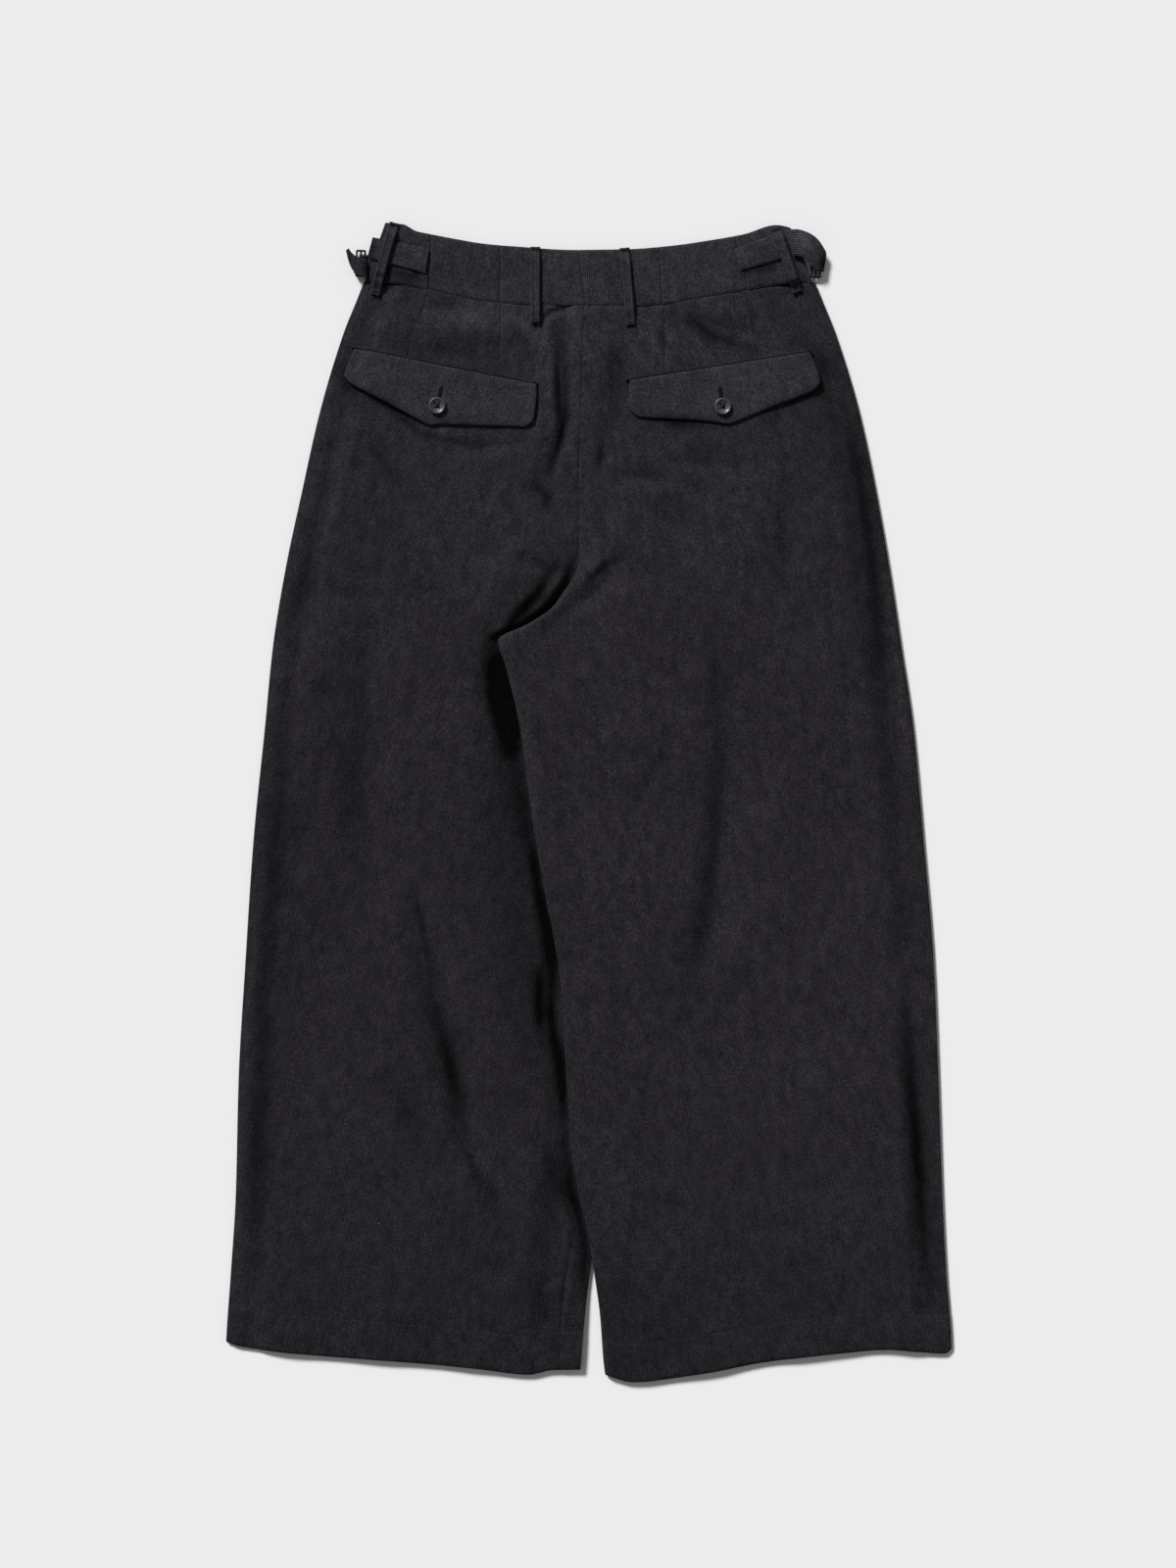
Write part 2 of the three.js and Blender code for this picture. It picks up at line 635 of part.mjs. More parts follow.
// Solids for cutting holes, and back again.
function toSolid(geometry) {
  const bare = geometry.clone();
  bare.deleteAttribute("normal");
  bare.deleteAttribute("uv");
  const merged = mergeVertices(bare, 1e-4);
  return new wasm.Manifold(
    new wasm.Mesh({
      numProp: 3,
      vertProperties: merged.attributes.position.array,
      triVerts: new Uint32Array(merged.index.array),
    }),
  );
}

function toGeometry(solid) {
  const { vertProperties, triVerts } = solid.getMesh();
  const geometry = new THREE.BufferGeometry();
  geometry.setAttribute("position", new THREE.BufferAttribute(vertProperties, 3));
  geometry.setIndex(new THREE.BufferAttribute(triVerts, 1));
  return geometry.toNonIndexed();
}

function buttonGeometry() {
  const dish = BUTTON_RADIUS - BUTTON_RIM;
  const profile = [
    [0, 0],
    [BUTTON_RADIUS - 1.6, 0],
    [BUTTON_RADIUS, 0.9],
    [BUTTON_RADIUS, BUTTON_HEIGHT - 0.6],
    [BUTTON_RADIUS - 0.6, BUTTON_HEIGHT],
    [dish, BUTTON_HEIGHT - 0.1],
    [dish - 0.7, BUTTON_HEIGHT - BUTTON_DISH],
    [0, BUTTON_HEIGHT - BUTTON_DISH],
  ].map(([radius, height]) => new THREE.Vector2(radius, height));
  const body = new THREE.LatheGeometry(profile, BUTTON_SIDES).rotateX(Math.PI / 2);
  let solid = toSolid(body);
  for (const [sx, sy] of [[-1, -1], [1, -1], [1, 1], [-1, 1]]) {
    const hole = new THREE.CylinderGeometry(BUTTON_HOLE, BUTTON_HOLE, BUTTON_HEIGHT * 4, 8);
    hole.rotateX(Math.PI / 2).translate(sx * BUTTON_HOLE_OUT, sy * BUTTON_HOLE_OUT, 0);
    solid = solid.subtract(toSolid(hole));
  }
  return toGeometry(solid);
}

function flapButton(flap, flapMesh) {
  const [x, y] = flapPoint(flap, BUTTON_ALONG, BUTTON_DEPTH);
  const button = addPiece(`button_${flap.name}`, buttonGeometry(), buttonMaterial);
  button.position.set(x, y, topOf([flapMesh], x, y, BUTTON_RADIUS * 0.6) + SEAM_GAP);
}

// A strap between two ends, each given by its two corners.
function stripPlan(start, finish) {
  return (u, v) => {
    const [ax, ay, bx, by] = start.map((value, k) => lerp(value, finish[k], u));
    return [lerp(bx, ax, v), lerp(by, ay, v)];
  };
}

function adjusterTab(tab, bandMeshes) {
  const leftward = tab.end[0] < tab.sewn[0];
  const plan = leftward ? stripPlan(tab.end, tab.sewn) : stripPlan(tab.sewn, tab.end);
  const top = (x, y) => {
    const below = topOf(bandMeshes, x, y, 3);
    return Math.max(below, BAND_EDGE_TOP) + SEAM_GAP + STRAP_CLOTH;
  };
  return addPiece(tab.name, laidCloth(steps(7), steps(2), plan, top, STRAP_CLOTH), trimCloth);
}

// A belt loop: sewn down at its foot and at its head, and clear of the waistband between.
function beltLoop(loop, below) {
  const foot = new THREE.Vector2(...loop.foot);
  const head = new THREE.Vector2(...loop.head);
  const side = head.clone().sub(foot).normalize().rotateAround(new THREE.Vector2(), -Math.PI / 2);
  const seat = (v) => {
    const { x, y } = foot.clone().lerp(head, THREE.MathUtils.clamp(v, 0, 1));
    return topOf(below, x, y, LOOP_WIDTH / 2);
  };
  const plan = (u, v) => {
    const { x, y } = foot.clone().lerp(head, v).addScaledVector(side, lerp(-0.5, 0.5, u) * LOOP_WIDTH);
    return [x, y];
  };
  const top = (x, y, u, v) => {
    const off = smoothstep(Math.min(v, 1 - v), LOOP_ROWS[1], LOOP_ROWS[3]);
    const crest = Math.max(seat(v - 0.1), seat(v), seat(v + 0.1));
    return lerp(seat(v < 0.5 ? 0 : 1), crest + LOOP_ROOM, off) + SEAM_GAP + LOOP_CLOTH;
  };
  addPiece(loop.name, laidCloth(steps(2), LOOP_ROWS, plan, top, LOOP_CLOTH), trimCloth);
}

// The curled end of a strap: rows across its width, and its wall square to the curl.
function curledStrap(name, table) {
  const outer = table.map((row) =>
    steps(3).map((u) => {
      const x = lerp(row.topX, row.bottomX, u);
      const y = lerp(row.topY, row.bottomY, u);
      return new THREE.Vector3(x, y, row.z);
    }),
  );
  const inner = outer.map((row, j) =>
    row.map((point, i) => point.clone().addScaledVector(squareTo(outer, j, i), -STRAP_CLOTH)),
  );
  addPiece(name, closedWall(outer, inner), trimCloth);
}

// A small frame with a middle bar: a plate with round corners, cut by two slots.
function buckle({ name, at, turn }) {
  const { width, length, bar, thick, corner } = BUCKLE;
  const outline = new THREE.Shape();
  const x = width / 2 - corner;
  const y = length / 2 - corner;
  outline.absarc(x, -y, corner, -Math.PI / 2, 0);
  outline.absarc(x, y, corner, 0, Math.PI / 2);
  outline.absarc(-x, y, corner, Math.PI / 2, Math.PI);
  outline.absarc(-x, -y, corner, Math.PI, 1.5 * Math.PI);
  const plate = new THREE.ExtrudeGeometry(outline, { depth: thick, bevelEnabled: false, curveSegments: 3 });
  const slotWidth = (width - 3 * bar) / 2;
  let solid = toSolid(plate);
  for (const side of [-1, 1]) {
    const slot = new THREE.BoxGeometry(slotWidth, length - 2 * bar, thick * 4);
    solid = solid.subtract(toSolid(slot.translate((side * (slotWidth + bar)) / 2, 0, 0)));
  }
  const mesh = addPiece(name, toGeometry(solid), metal);
  mesh.position.set(at[0], at[1], CURL_LEFT[0].z + STRAP_CLOTH + SEAM_GAP);
  mesh.rotation.z = turn;
}

const backs = legPanels();
flyShield(backs.fronts);
const bands = waistband();
const flapMeshes = FLAPS.map((flap) => pocketFlap(flap, backs[flap.name]));
FLAPS.forEach((flap, i) => flapButton(flap, flapMeshes[i]));
const tabs = TABS.map((tab) => adjusterTab(tab, bands));
LOOPS.forEach((loop) => beltLoop(loop, [backs.left, backs.right, ...bands, ...tabs]));
curledStrap("adjuster_strap_left", CURL_LEFT);
curledStrap("adjuster_strap_right", CURL_RIGHT);
BUCKLES.forEach(buckle);

// The origin is under the middle of the trousers' box, on the surface that they lie on.
const box = new THREE.Box3().setFromObject(trousers);
const middle = box.getCenter(new THREE.Vector3());
trousers.position.set(-middle.x, -middle.y, -box.min.z);

export default trousers;
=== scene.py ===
# %% [markdown]
# Corduroy trousers, laid flat with the back up
#
# This lesson dresses a plain model of wide-leg trousers. The model from the CAD program is the
# fixed frame: it has every piece of cloth at its real size, but with few faces and no weave.
# Each piece of cloth gets a finer piece in its place here, with its folds, seams and stitches.

# %% Load the fixed frame
import math

import bmesh
import bpy
import numpy as np
from mathutils import Matrix, Vector
from mathutils.bvhtree import BVHTree


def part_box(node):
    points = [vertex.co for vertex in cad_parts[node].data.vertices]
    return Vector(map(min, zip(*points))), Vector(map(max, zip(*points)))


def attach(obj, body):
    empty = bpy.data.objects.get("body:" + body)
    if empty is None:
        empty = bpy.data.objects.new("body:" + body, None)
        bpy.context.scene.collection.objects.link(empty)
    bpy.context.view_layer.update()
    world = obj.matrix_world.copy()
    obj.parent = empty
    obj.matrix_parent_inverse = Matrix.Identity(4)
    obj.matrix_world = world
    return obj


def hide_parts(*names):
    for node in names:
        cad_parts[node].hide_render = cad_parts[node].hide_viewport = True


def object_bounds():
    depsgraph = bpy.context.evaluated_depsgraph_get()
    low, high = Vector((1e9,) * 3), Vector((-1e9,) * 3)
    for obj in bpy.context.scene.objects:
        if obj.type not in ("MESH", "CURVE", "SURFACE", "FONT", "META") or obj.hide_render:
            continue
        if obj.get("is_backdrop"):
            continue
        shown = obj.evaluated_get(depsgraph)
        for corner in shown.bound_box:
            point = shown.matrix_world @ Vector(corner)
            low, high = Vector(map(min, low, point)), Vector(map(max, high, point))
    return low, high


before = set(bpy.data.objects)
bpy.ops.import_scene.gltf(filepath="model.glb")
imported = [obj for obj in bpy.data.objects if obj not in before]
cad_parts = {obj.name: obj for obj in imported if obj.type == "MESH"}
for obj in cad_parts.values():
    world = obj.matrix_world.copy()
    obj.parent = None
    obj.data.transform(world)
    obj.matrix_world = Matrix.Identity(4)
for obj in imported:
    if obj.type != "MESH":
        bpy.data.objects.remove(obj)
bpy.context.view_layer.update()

MM = 0.001

# %% [markdown]
# Smooth lines from a few measured points
#
# A pattern cutter draws a long seam by marking a few points and laying a curved ruler through
# them. The helper below does that with numbers: it runs a smooth line through the marked points
# and never overshoots one. It reads whole arrays at once, because a leg has 45,000 points.

# %% Lines and blends
def line_through(points):
    """A smooth line through (from, to) pairs, read at one value or at an array of them."""
    xs, ys = np.array(points, float).T
    steps = np.diff(ys) / np.diff(xs)
    product = steps[:-1] * steps[1:]
    total = np.where(product > 0, steps[:-1] + steps[1:], 1)
    slopes = np.concatenate([steps[:1], np.where(product > 0, 2 * product / total, 0), steps[-1:]])

    def read(at):
        x = np.clip(at, xs[0], xs[-1])
        i = np.clip(np.searchsorted(xs, x) - 1, 0, len(xs) - 2)
        span = xs[i + 1] - xs[i]
        t = (x - xs[i]) / span
        rest = 1 - t
        ends = ys[i] * (1 + 2 * t) * rest**2 + ys[i + 1] * t**2 * (3 - 2 * t)
        return ends + span * t * rest * (slopes[i] * rest - slopes[i + 1] * t)

    return read


def mix(a, b, share):
    return a + (b - a) * share


def ease(value, low, high):
    """0 up to low, 1 from high on, and a soft slope between them."""
    t = np.clip((value - low) / (high - low), 0, 1)
    return t * t * (3 - 2 * t)


print("a quarter of the way, a soft slope has reached", float(ease(0.25, 0, 1)))

# %% [markdown]
# The outlines of the cut pieces
#
# The trousers are seven outlines: two side seams, the inner edges of the legs, the hem, the seam
# under the waistband and the waistband's top edge. They are the same lines as in the CAD model,
# in millimetres, so that each finer piece lands where its solid is.

# %% Outlines in millimetres
# Each row: height y, left side seam x, right side seam x, and how high the back lies there.
SIDES = [
    (-520, -323.5, 323.6, 4.9), (-476.8, -321.9, 322.3, 5.2), (-420.2, -318, 318, 5.6),
    (-350.6, -313.6, 314.5, 5.7), (-246.2, -311, 311, 5.7), (-141.8, -304.9, 306.7, 5.7),
    (-37.4, -298, 298, 5.9), (67, -287.5, 288.4, 6.8), (136.6, -280.6, 278, 7.6),
    (206.2, -269.3, 267.5, 8.2), (275.8, -254.5, 255.3, 8.2), (345.4, -238.8, 240.6, 7.8),
    (415, -217.9, 219.7, 7), (449.8, -204, 205.8, 6.4), (520, -178, 178, 6.2),
]
side_left = line_through([(y, left) for y, left, _, _ in SIDES])
side_right = line_through([(y, right) for y, _, right, _ in SIDES])
rest_height = line_through([(y, rest) for y, _, _, rest in SIDES])
right_back_inner = line_through([
    (-520, 18.6), (-507.2, 14.4), (-455, 10), (-420.2, 5.2), (-385.4, -0.4), (-350.6, -8.3),
    (-315.8, -14.4), (-246.2, -19.6), (-176.6, -23.1), (-141.8, -27.4), (-72.2, -40.5),
    (-2.6, -51.8), (67, -61.3), (119.2, -73.5), (142.7, -80.5), (156.6, -54), (171.4, -32),
    (185.3, -22), (202.7, -11.2), (218.4, -8.3), (275.8, -8.5), (345.4, -6.5), (405.4, -4.8),
    (470, -3),
])
CROTCH_X, CROTCH_Y = -0.4, 183.6
LAP_TIP_Y = 142.7
CENTRE_SEAM_FOOT = 214
left_leg_inner = line_through([
    (-515, -7.8), (-455, -3), (-411.5, 2.2), (-333, 10), (-246, 18.7), (-72, 32.6), (30, 40.5),
    (84.4, 41), (119, 27.4), (154, 12.6), (CROTCH_Y, CROTCH_X),
])
left_back_crotch = line_through([(CROTCH_Y, CROTCH_X), (204, -7), (CENTRE_SEAM_FOOT, -8.6)])
right_front_crotch = line_through([
    (LAP_TIP_Y, -79.5), (152, -58), (166, -30), (CROTCH_Y, 0.2), (205, 0.2),
])
hem_edge = line_through([
    (-323, -481), (-309.3, -485.5), (-239.7, -493.3), (-170.1, -498.5), (-100.5, -504.6),
    (-51.8, -510.2), (-30.9, -506), (-7, -505.5), (14.4, -511), (34.4, -516.8), (90.9, -510.7),
    (160.5, -498.5), (230.1, -490.7), (264.9, -488.1), (318, -491.6), (324, -486),
])
# Each row: place x, the seam's y and the top edge's y.
WAIST = [
    (-206, 460.6, 508), (-185, 460, 513.6), (-165, 458, 512), (-153, 455.6, 505.8),
    (-138.8, 453, 502.8), (-119.6, 448.8, 499), (-95, 443.6, 494.9), (-68, 440.9, 492.3),
    (-10, 439.4, 489), (41.3, 439, 490), (69.2, 441, 492.2), (95, 445.2, 495.6),
    (137.9, 452.6, 503), (167.5, 457.8, 511.4), (185, 460, 507), (206, 460.6, 494),
]
waist_seam = line_through([(x, seam) for x, seam, _ in WAIST])
waist_top = line_through([(x, top) for x, _, top in WAIST])
HEM_MIDDLE, WAIST_MIDDLE = -495, 448
print("waistband", round(float(side_right(WAIST_MIDDLE) - side_left(WAIST_MIDDLE))), "mm wide")

# %% [markdown]
# The edges of each panel
#
# Four panels make the legs. The two backs meet in a seam at the centre, so closely that no gap
# shows there, and the two fronts lie hidden under them, a hair further in. Cloth pieces have
# different thicknesses, because a waistband or a flap is two layers sewn together.

# %% Panels between the outlines
SEAM_GAP, WAIST_SEAM_GAP, CLOSED_SEAM_GAP = 0.3, 0.4, 0.05
BACKS_APART, FRONT_INSET = 0.03, 0.6
CLOTH, BAND_CLOTH, FLAP_CLOTH = 1.2, 1.8, 1.8
WELT_CLOTH, STRAP_CLOTH, LOOP_CLOTH = 1.4, 1.4, 1.2


def back_left_edge(y):
    """The left back's inner edge: the inside leg, then the crotch, then the centre seam."""
    centre_seam = right_back_inner(y) - BACKS_APART
    above = np.where(y > CENTRE_SEAM_FOOT, centre_seam, left_back_crotch(y))
    return np.where(y > CROTCH_Y, above, left_leg_inner(y))


def front_left_edge(y):
    return np.where(y > CROTCH_Y, CROTCH_X, left_leg_inner(y))


def front_right_edge(y):
    return np.where(y > LAP_TIP_Y, right_front_crotch(y), right_back_inner(y) + FRONT_INSET)


def front_seam(x):
    """The seam under the front waistband, which is hidden and lies a little lower."""
    return 432 + 24 * (x / 200) ** 2


def leg_plan(left_edge, right_edge, seam, gap=WAIST_SEAM_GAP):
    """Where each point of a leg panel lies, between its two side edges, from hem to waist."""
    def plan(u, v):
        hem_x = mix(left_edge(HEM_MIDDLE), right_edge(HEM_MIDDLE), u)
        waist_y = seam(mix(left_edge(WAIST_MIDDLE), right_edge(WAIST_MIDDLE), u))
        waist_x = mix(left_edge(waist_y), right_edge(waist_y), u)
        y = mix(hem_edge(hem_x), seam(waist_x) - gap, v)
        return mix(left_edge(y), right_edge(y), u), y

    return plan


print("cloth", CLOTH, "mm thick in the legs and", BAND_CLOTH, "mm in the waistband")

# %% [markdown]
# Folds and creases, placed by hand
#
# Cloth that is laid down keeps the creases that it was laid with. A simulation would make creases
# of its own, in other places, so each one that the photograph shows is listed: a line on
# the cloth, how wide it is, and how far it rises or sinks. The broad folds are also in the CAD
# model. The sharp creases, darts and seam puckers are only here. Each row below is the points of
# the line, its width and its rise, all in millimetres.

# %% Broad folds and sharp creases
BROAD_FOLDS = [
    ([(-22, 436), (-25.7, 410), (-23.9, 378), (-23, 328), (-37.8, 284)], 7, -3.4),
    ([(-38, 428), (-39, 380), (-38, 330), (-52, 290)], 9, 1.8),
    ([(-52, 281), (-36, 256)], 7, -1.8),
    ([(23, 408), (23, 338), (11, 297)], 9, -1.9),
    ([(98, 425), (150, 411)], 8, -1.6),
    ([(-157, 431), (-81, 417)], 9, 1.6),
    ([(-74, 433), (-45, 402)], 8, 1.6),
    ([(-130, 317), (-68, 317)], 10, -1.9),
    ([(28, 292), (75, 292)], 10, -1.5),
    ([(87, 303), (135, 304)], 10, -1.5),
    ([(63, 257), (93, 236)], 8, -1.4),
    ([(-194, 321), (-163, 274)], 10, -1.9),
    ([(173, 269), (174, 176)], 11, -1.5),
    ([(115, 154), (115, -97), (87, -160)], 13, -1.5),
    ([(17, -85), (17, -229)], 12, -1.1),
    ([(-158, -88), (-140, -185), (-121, -272), (-107, -316)], 13, -2.2),
    ([(-205, 224), (-205, -3)], 16, -1.3),
    ([(-29, -300), (-41, -442)], 10, -1.2),
    ([(18, 214), (-8, 192), (-34, 166), (-66, 144)], 11, 3.2),
    ([(34, 216), (10, 190)], 7, -2.2),
    ([(-64, 124), (-50, 60), (-34, -20), (-18, -90)], 13, 2.6),
    ([(-58, 222), (-76, 192), (-102, 160)], 14, 1.6),
]
CREASES = [
    ([(-15, 439), (-30, 434), (-39, 429), (-41, 424)], 3.2, -1.5),
    ([(-22, 419), (-25, 380), (-24, 345), (-20, 315)], 2.6, -1.0),
    ([(-30, 415), (-31, 363), (-28, 319)], 4, 0.9),
    ([(-146, 438), (-157, 419), (-162, 398)], 1.6, -0.9),
    ([(-79, 422), (-80, 378)], 1.6, -0.9),
    ([(67, 441), (67, 380)], 1.6, -0.9),
    ([(60, 439), (60, 382)], 4, 0.6),
    ([(139, 452), (150, 392)], 2, 0.8),
    ([(143, 452), (154, 392)], 2, -0.6),
    ([(-7, 385), (4, 385)], 1.2, -0.5),
    ([(-11, -375), (-16, -396), (-20.6, -422), (-25, -460), (-26.5, -505)], 2, -0.8),
    ([(-52, 281), (-40, 269), (-36, 256)], 3, -1),
    ([(23, 408), (23, 338)], 3.5, -0.8),
    ([(14, 317), (11, 297)], 3.5, -0.8),
    ([(-62, 224), (-48, 211), (-39, 197), (-42, 187), (-61, 165), (-82, 143)], 5, 1.3),
    ([(-24, 211), (-39, 189), (-53, 173), (-81, 141)], 5, -1.6),
    ([(22, 214), (0, 192)], 4, -1.4),
    ([(98, 425), (150, 411)], 4, -0.8),
    ([(-200, 363), (-140, 330)], 8, -1.9),
    ([(165, 445), (204, 376)], 12, -0.5),
    ([(41, 345), (90, 337)], 5, -1.2),
    ([(-158, -88), (-140, -185), (-127, -233), (-121, -272), (-107, -316)], 5, -1),
    ([(-244, 224), (-246, 119)], 8, -0.7),
    ([(115, 154), (115, -97)], 5, -0.5),
    ([(202, 391), (226, 332), (240, 263), (243, 199), (249, 130)], 6, -0.5),
    ([(287, -159), (298, -433)], 7, -0.9),
    ([(-275, 15), (-280, -229)], 7, -0.8),
    ([(-284, -300), (-290, -440)], 6, -0.6),
    ([(-115, 402), (-60, 404)], 5, -0.6),
    ([(-45, 433), (-60, 405)], 3, 0.5),
]
print("folds", len(BROAD_FOLDS), "and creases", len(CREASES))

# %% [markdown]
# Painted shade and highlights, with pile tone
#
# Each dark or pale streak that the photograph shows is kept as a line, with its width and how much
# it darkens or lightens the colour. Most are painted shade and painted highlights: shadows under
# the flaps and in the creases, and the pale sides of ridges and edges. Some are the pile's own
# tone, darker where it was bent or pressed and paler where it lies flat. The first table is for
# both
# backs. The left back has more: painted shade in the hollow where the right leg lies over it.

# %% Painted shade, highlights and tone of the backs
# Painted shade and painted highlights, with some pile tone.
BACK_PAINTED_LIGHT_AND_TONE = [
    ([(-340, -507), (330, -507)], 170, -0.24),
    ([(-296, 171), (-305, -420)], 110, -0.14),
    ([(-157, 276), (174, 276)], 150, 0.1),
    ([(-165, 418), (165, 418)], 36, 0.34),
    ([(-183, 48), (-186, -60), (-180, -168)], 9, 0.16),
    ([(-212, 56), (-210, -37)], 13, -0.12),
    ([(-156, -75), (-140, -150)], 4.5, -0.6),
    ([(-128, -200), (-112, -290)], 12, -0.3),
    ([(-146, -140), (-139, -175), (-122, -243), (-110, -313)], 10, -0.6),
    ([(-112, -305), (-92, -345), (-76, -383)], 7, -0.35),
    ([(-168, -245), (-155, -300)], 14, -0.35),
    ([(222, 352), (236, 310), (248, 240), (257, 160), (262, 90)], 8, -0.8),
    ([(262, 215), (275, 120), (284, 20)], 4, 0.5),
    ([(251, 154), (265, 50), (278, -55), (287, -151)], 12, -0.25),
    ([(281, -185), (288, -260), (295, -350), (301, -445)], 9, -0.9),
    ([(-289, -46), (-301, -168), (-309, -333), (-314, -455)], 5, 0.25),
    ([(300, 60), (304, -40), (310, -159), (317, -290), (320, -446)], 4.5, 0.6),
    ([(-268, 40), (-270, -11), (-280, -98), (-290, -230)], 13, -0.4),
    ([(-286, -198), (-292, -290), (-296, -383)], 11, -0.45),
    ([(-199, 209), (-202, 102), (-206, -11)], 9, -0.3),
    ([(-214, 60), (-214, -80)], 22, -0.22),
    ([(-246, 224), (-259, 163)], 14, -0.4),
    ([(-222, 398), (-207, 350)], 9, -0.5),
    ([(-196, 321), (-179, 293), (-153, 267)], 7, -0.4),
    ([(-207, 368), (-174, 348), (-140, 328)], 6, -0.5),
    ([(-173, 345), (-154, 328), (-99, 315), (-59, 320)], 4, -0.5),
    ([(-150, 334), (-126, 326), (-70, 326)], 4, 0.6),
    ([(-96, 304), (-64, 308)], 6, 0.3),
    ([(-22, 424), (-21, 363), (-22, 335), (-26, 318), (-33, 298), (-37, 283)], 4.5, -1.0),
    ([(-33, 345), (-36, 318), (-42, 300)], 4, 0.6),
    ([(12, 312), (10, 293)], 5, -0.7),
    ([(-34, 415), (-34, 363), (-33, 325)], 5, 0.6),
    ([(-7, 428), (-6, 315)], 7, 0.15),
    ([(-176, 429), (-122, 425), (-74, 417)], 8, 0.6),
    ([(-132, 420), (-105, 430), (-80, 437)], 8, 0.8),
    ([(-180, 409), (-122, 401), (-70, 394)], 8, -0.5),
    ([(-70, 434), (-42, 402)], 5, 0.5),
    ([(-67, 424), (-52, 398)], 5, -0.5),
    ([(-142, 442), (-116, 441)], 5, -0.35),
    ([(82, 431), (96, 422), (112, 412), (145, 402)], 6.5, -1.0),
    ([(92, 443), (118, 440), (138, 434)], 6, 0.35),
    ([(200, 404), (210, 385), (214, 362)], 9, -0.6),
    ([(204, 364), (167, 345), (136, 330)], 6, -0.3),
    ([(27, 428), (26, 380), (29, 337)], 7, -0.6),
    ([(165, 445), (184, 415), (204, 376)], 9, -0.15),
    ([(41, 344), (78, 334), (117, 336)], 5, -0.8),
    ([(178, 373), (210, 356)], 7, -0.2),
    ([(26, 291), (76, 288)], 5, -0.5),
    ([(84, 305), (108, 300), (135, 302)], 5, -0.5),
    ([(42, 314), (80, 309)], 5, 0.3),
    ([(60, 298), (84, 293)], 4, 0.2),
    ([(117, 145), (117, 50), (113, -29), (97, -124), (87, -168)], 10, -0.5),
    ([(105, -140), (100, -266)], 18, -0.16),
    ([(30, -320), (75, -365)], 16, -0.2),
    ([(43, 10), (74, 54)], 7, -0.35),
    ([(172, 278), (174, 186)], 9, -0.3),
    ([(-45, 281), (-38, 270), (-36, 256)], 4.5, -0.8),
    ([(22, 214), (0, 192)], 5, -0.4),
    ([(-72, 142), (-35, 152), (-5, 172), (34, 190)], 8, 0.6),
    ([(-15, 237), (4, 211)], 8, 0.25),
    ([(17, -104), (30, -266)], 9, -0.2),
    ([(17, -333), (156, -359)], 35, 0.1),
    ([(-33, -301), (-40, -452)], 8, -0.3),
]
# Painted shade in the hollow under the right leg's edge, with one pale lobe beside it.
PAINTED_SHADE_BESIDE_LAP = [
    ([(-36, 203), (-45, 184), (-63, 166), (-80, 144)], 6, -1.2),
    ([(-22, 186), (-36, 168), (-58, 154)], 9, -0.9),
    ([(-61, 211), (-55, 225)], 4, -0.7),
    ([(-50, 217), (-37, 207)], 4, -0.6),
    ([(-32, 212), (-13, 202)], 6, -0.6),
    ([(-58, 206), (-42, 200)], 4, 0.5),
    ([(-81, 132), (-76, 98), (-68, 50)], 13, -2.4),
    ([(-80, 58), (-72, 16), (-66, -20)], 12, -0.26),
    ([(-68, 50), (-60, 10), (-54, -29), (-50, -60)], 10, -0.6),
    ([(-50, -40), (-42, -104)], 6, -0.8),
    ([(-40, -85), (-33, -130), (-31, -160)], 9, -1.1),
    ([(-45, -150), (-43, -205)], 5, -0.9),
    ([(-33, -158), (-33, -190), (-31, -226)], 5, -0.8),
    ([(-38, -310), (-24, -345), (-14, -362)], 11, -0.45),
    ([(-52, -430), (-38, -462)], 10, -0.3),
    ([(-29, -205), (-25, -240), (-22, -275)], 6, -0.9),
    ([(-25, -225), (-22, -300), (-16, -340), (-10, -380)], 6, -0.6),
    ([(-10, -355), (-3, -400), (-5, -440)], 5, -0.7),
    ([(-94, 50), (-74, -72), (-57, -168), (-53, -264)], 30, -0.35),
]
print("light_and_tone_streaks", len(BACK_PAINTED_LIGHT_AND_TONE), "on both backs and", len(PAINTED_SHADE_BESIDE_LAP), "on the left one")

# %% [markdown]
# Painted shade and highlights on the trimmings
#
# The waistband is darker at its two ends and in a few bands: partly its own tone, partly painted
# shade under the tabs. The tabs have painted shade where they bend into the buckles and are paler
# at their sewn ends. The right strap has a painted highlight on top of its curl and painted shade
# under it, and the left strap has a line of painted shade beside its buckle.

# %% Painted shade, highlights and tone of the waistband, the tabs and the straps
BAND_PAINTED_SHADE_AND_TONE = [
    ([(-131, 472), (-66, 470)], 16, -0.2),
    ([(-199, 470), (-150, 470)], 40, -0.26),
    ([(-180, 471), (-144, 463)], 4, -0.5),
    ([(-62, 447), (-62, 487)], 10, -0.12),
    ([(25, 447), (25, 487)], 10, -0.2),
    ([(120, 455), (180, 480)], 26, -0.1),
    ([(138, 467.5), (172, 475)], 4, -0.6),
]
TAB_PAINTED_LIGHT_AND_TONE = [
    ([(-191, 501), (-196, 482)], 4, -0.8),
    ([(-146, 490), (-149, 468)], 6, 0.35),
    ([(134, 490), (139, 470)], 6, 0.35),
    ([(173, 505), (180, 483)], 4, -0.6),
]
# Painted highlight on the curl's top, painted shade under it and beside the left buckle.
CURL_PAINTED_LIGHT = [
    ([(183, 500), (198, 495)], 7, 1.4),
    ([(211, 484), (206, 469)], 4, -0.9),
    ([(-197, 480), (-198, 464)], 3, -0.6),
]
print("light_and_tone_streaks", len(BAND_PAINTED_SHADE_AND_TONE + TAB_PAINTED_LIGHT_AND_TONE + CURL_PAINTED_LIGHT), "on the trimmings")

# %% [markdown]
# How a marked line changes the cloth
#
# A fold is strongest on its line and dies away to both sides, like a bell, and it is weaker at its
# two ends. The same sum serves for heights and for painted light and tone: one helper reads every
# table.

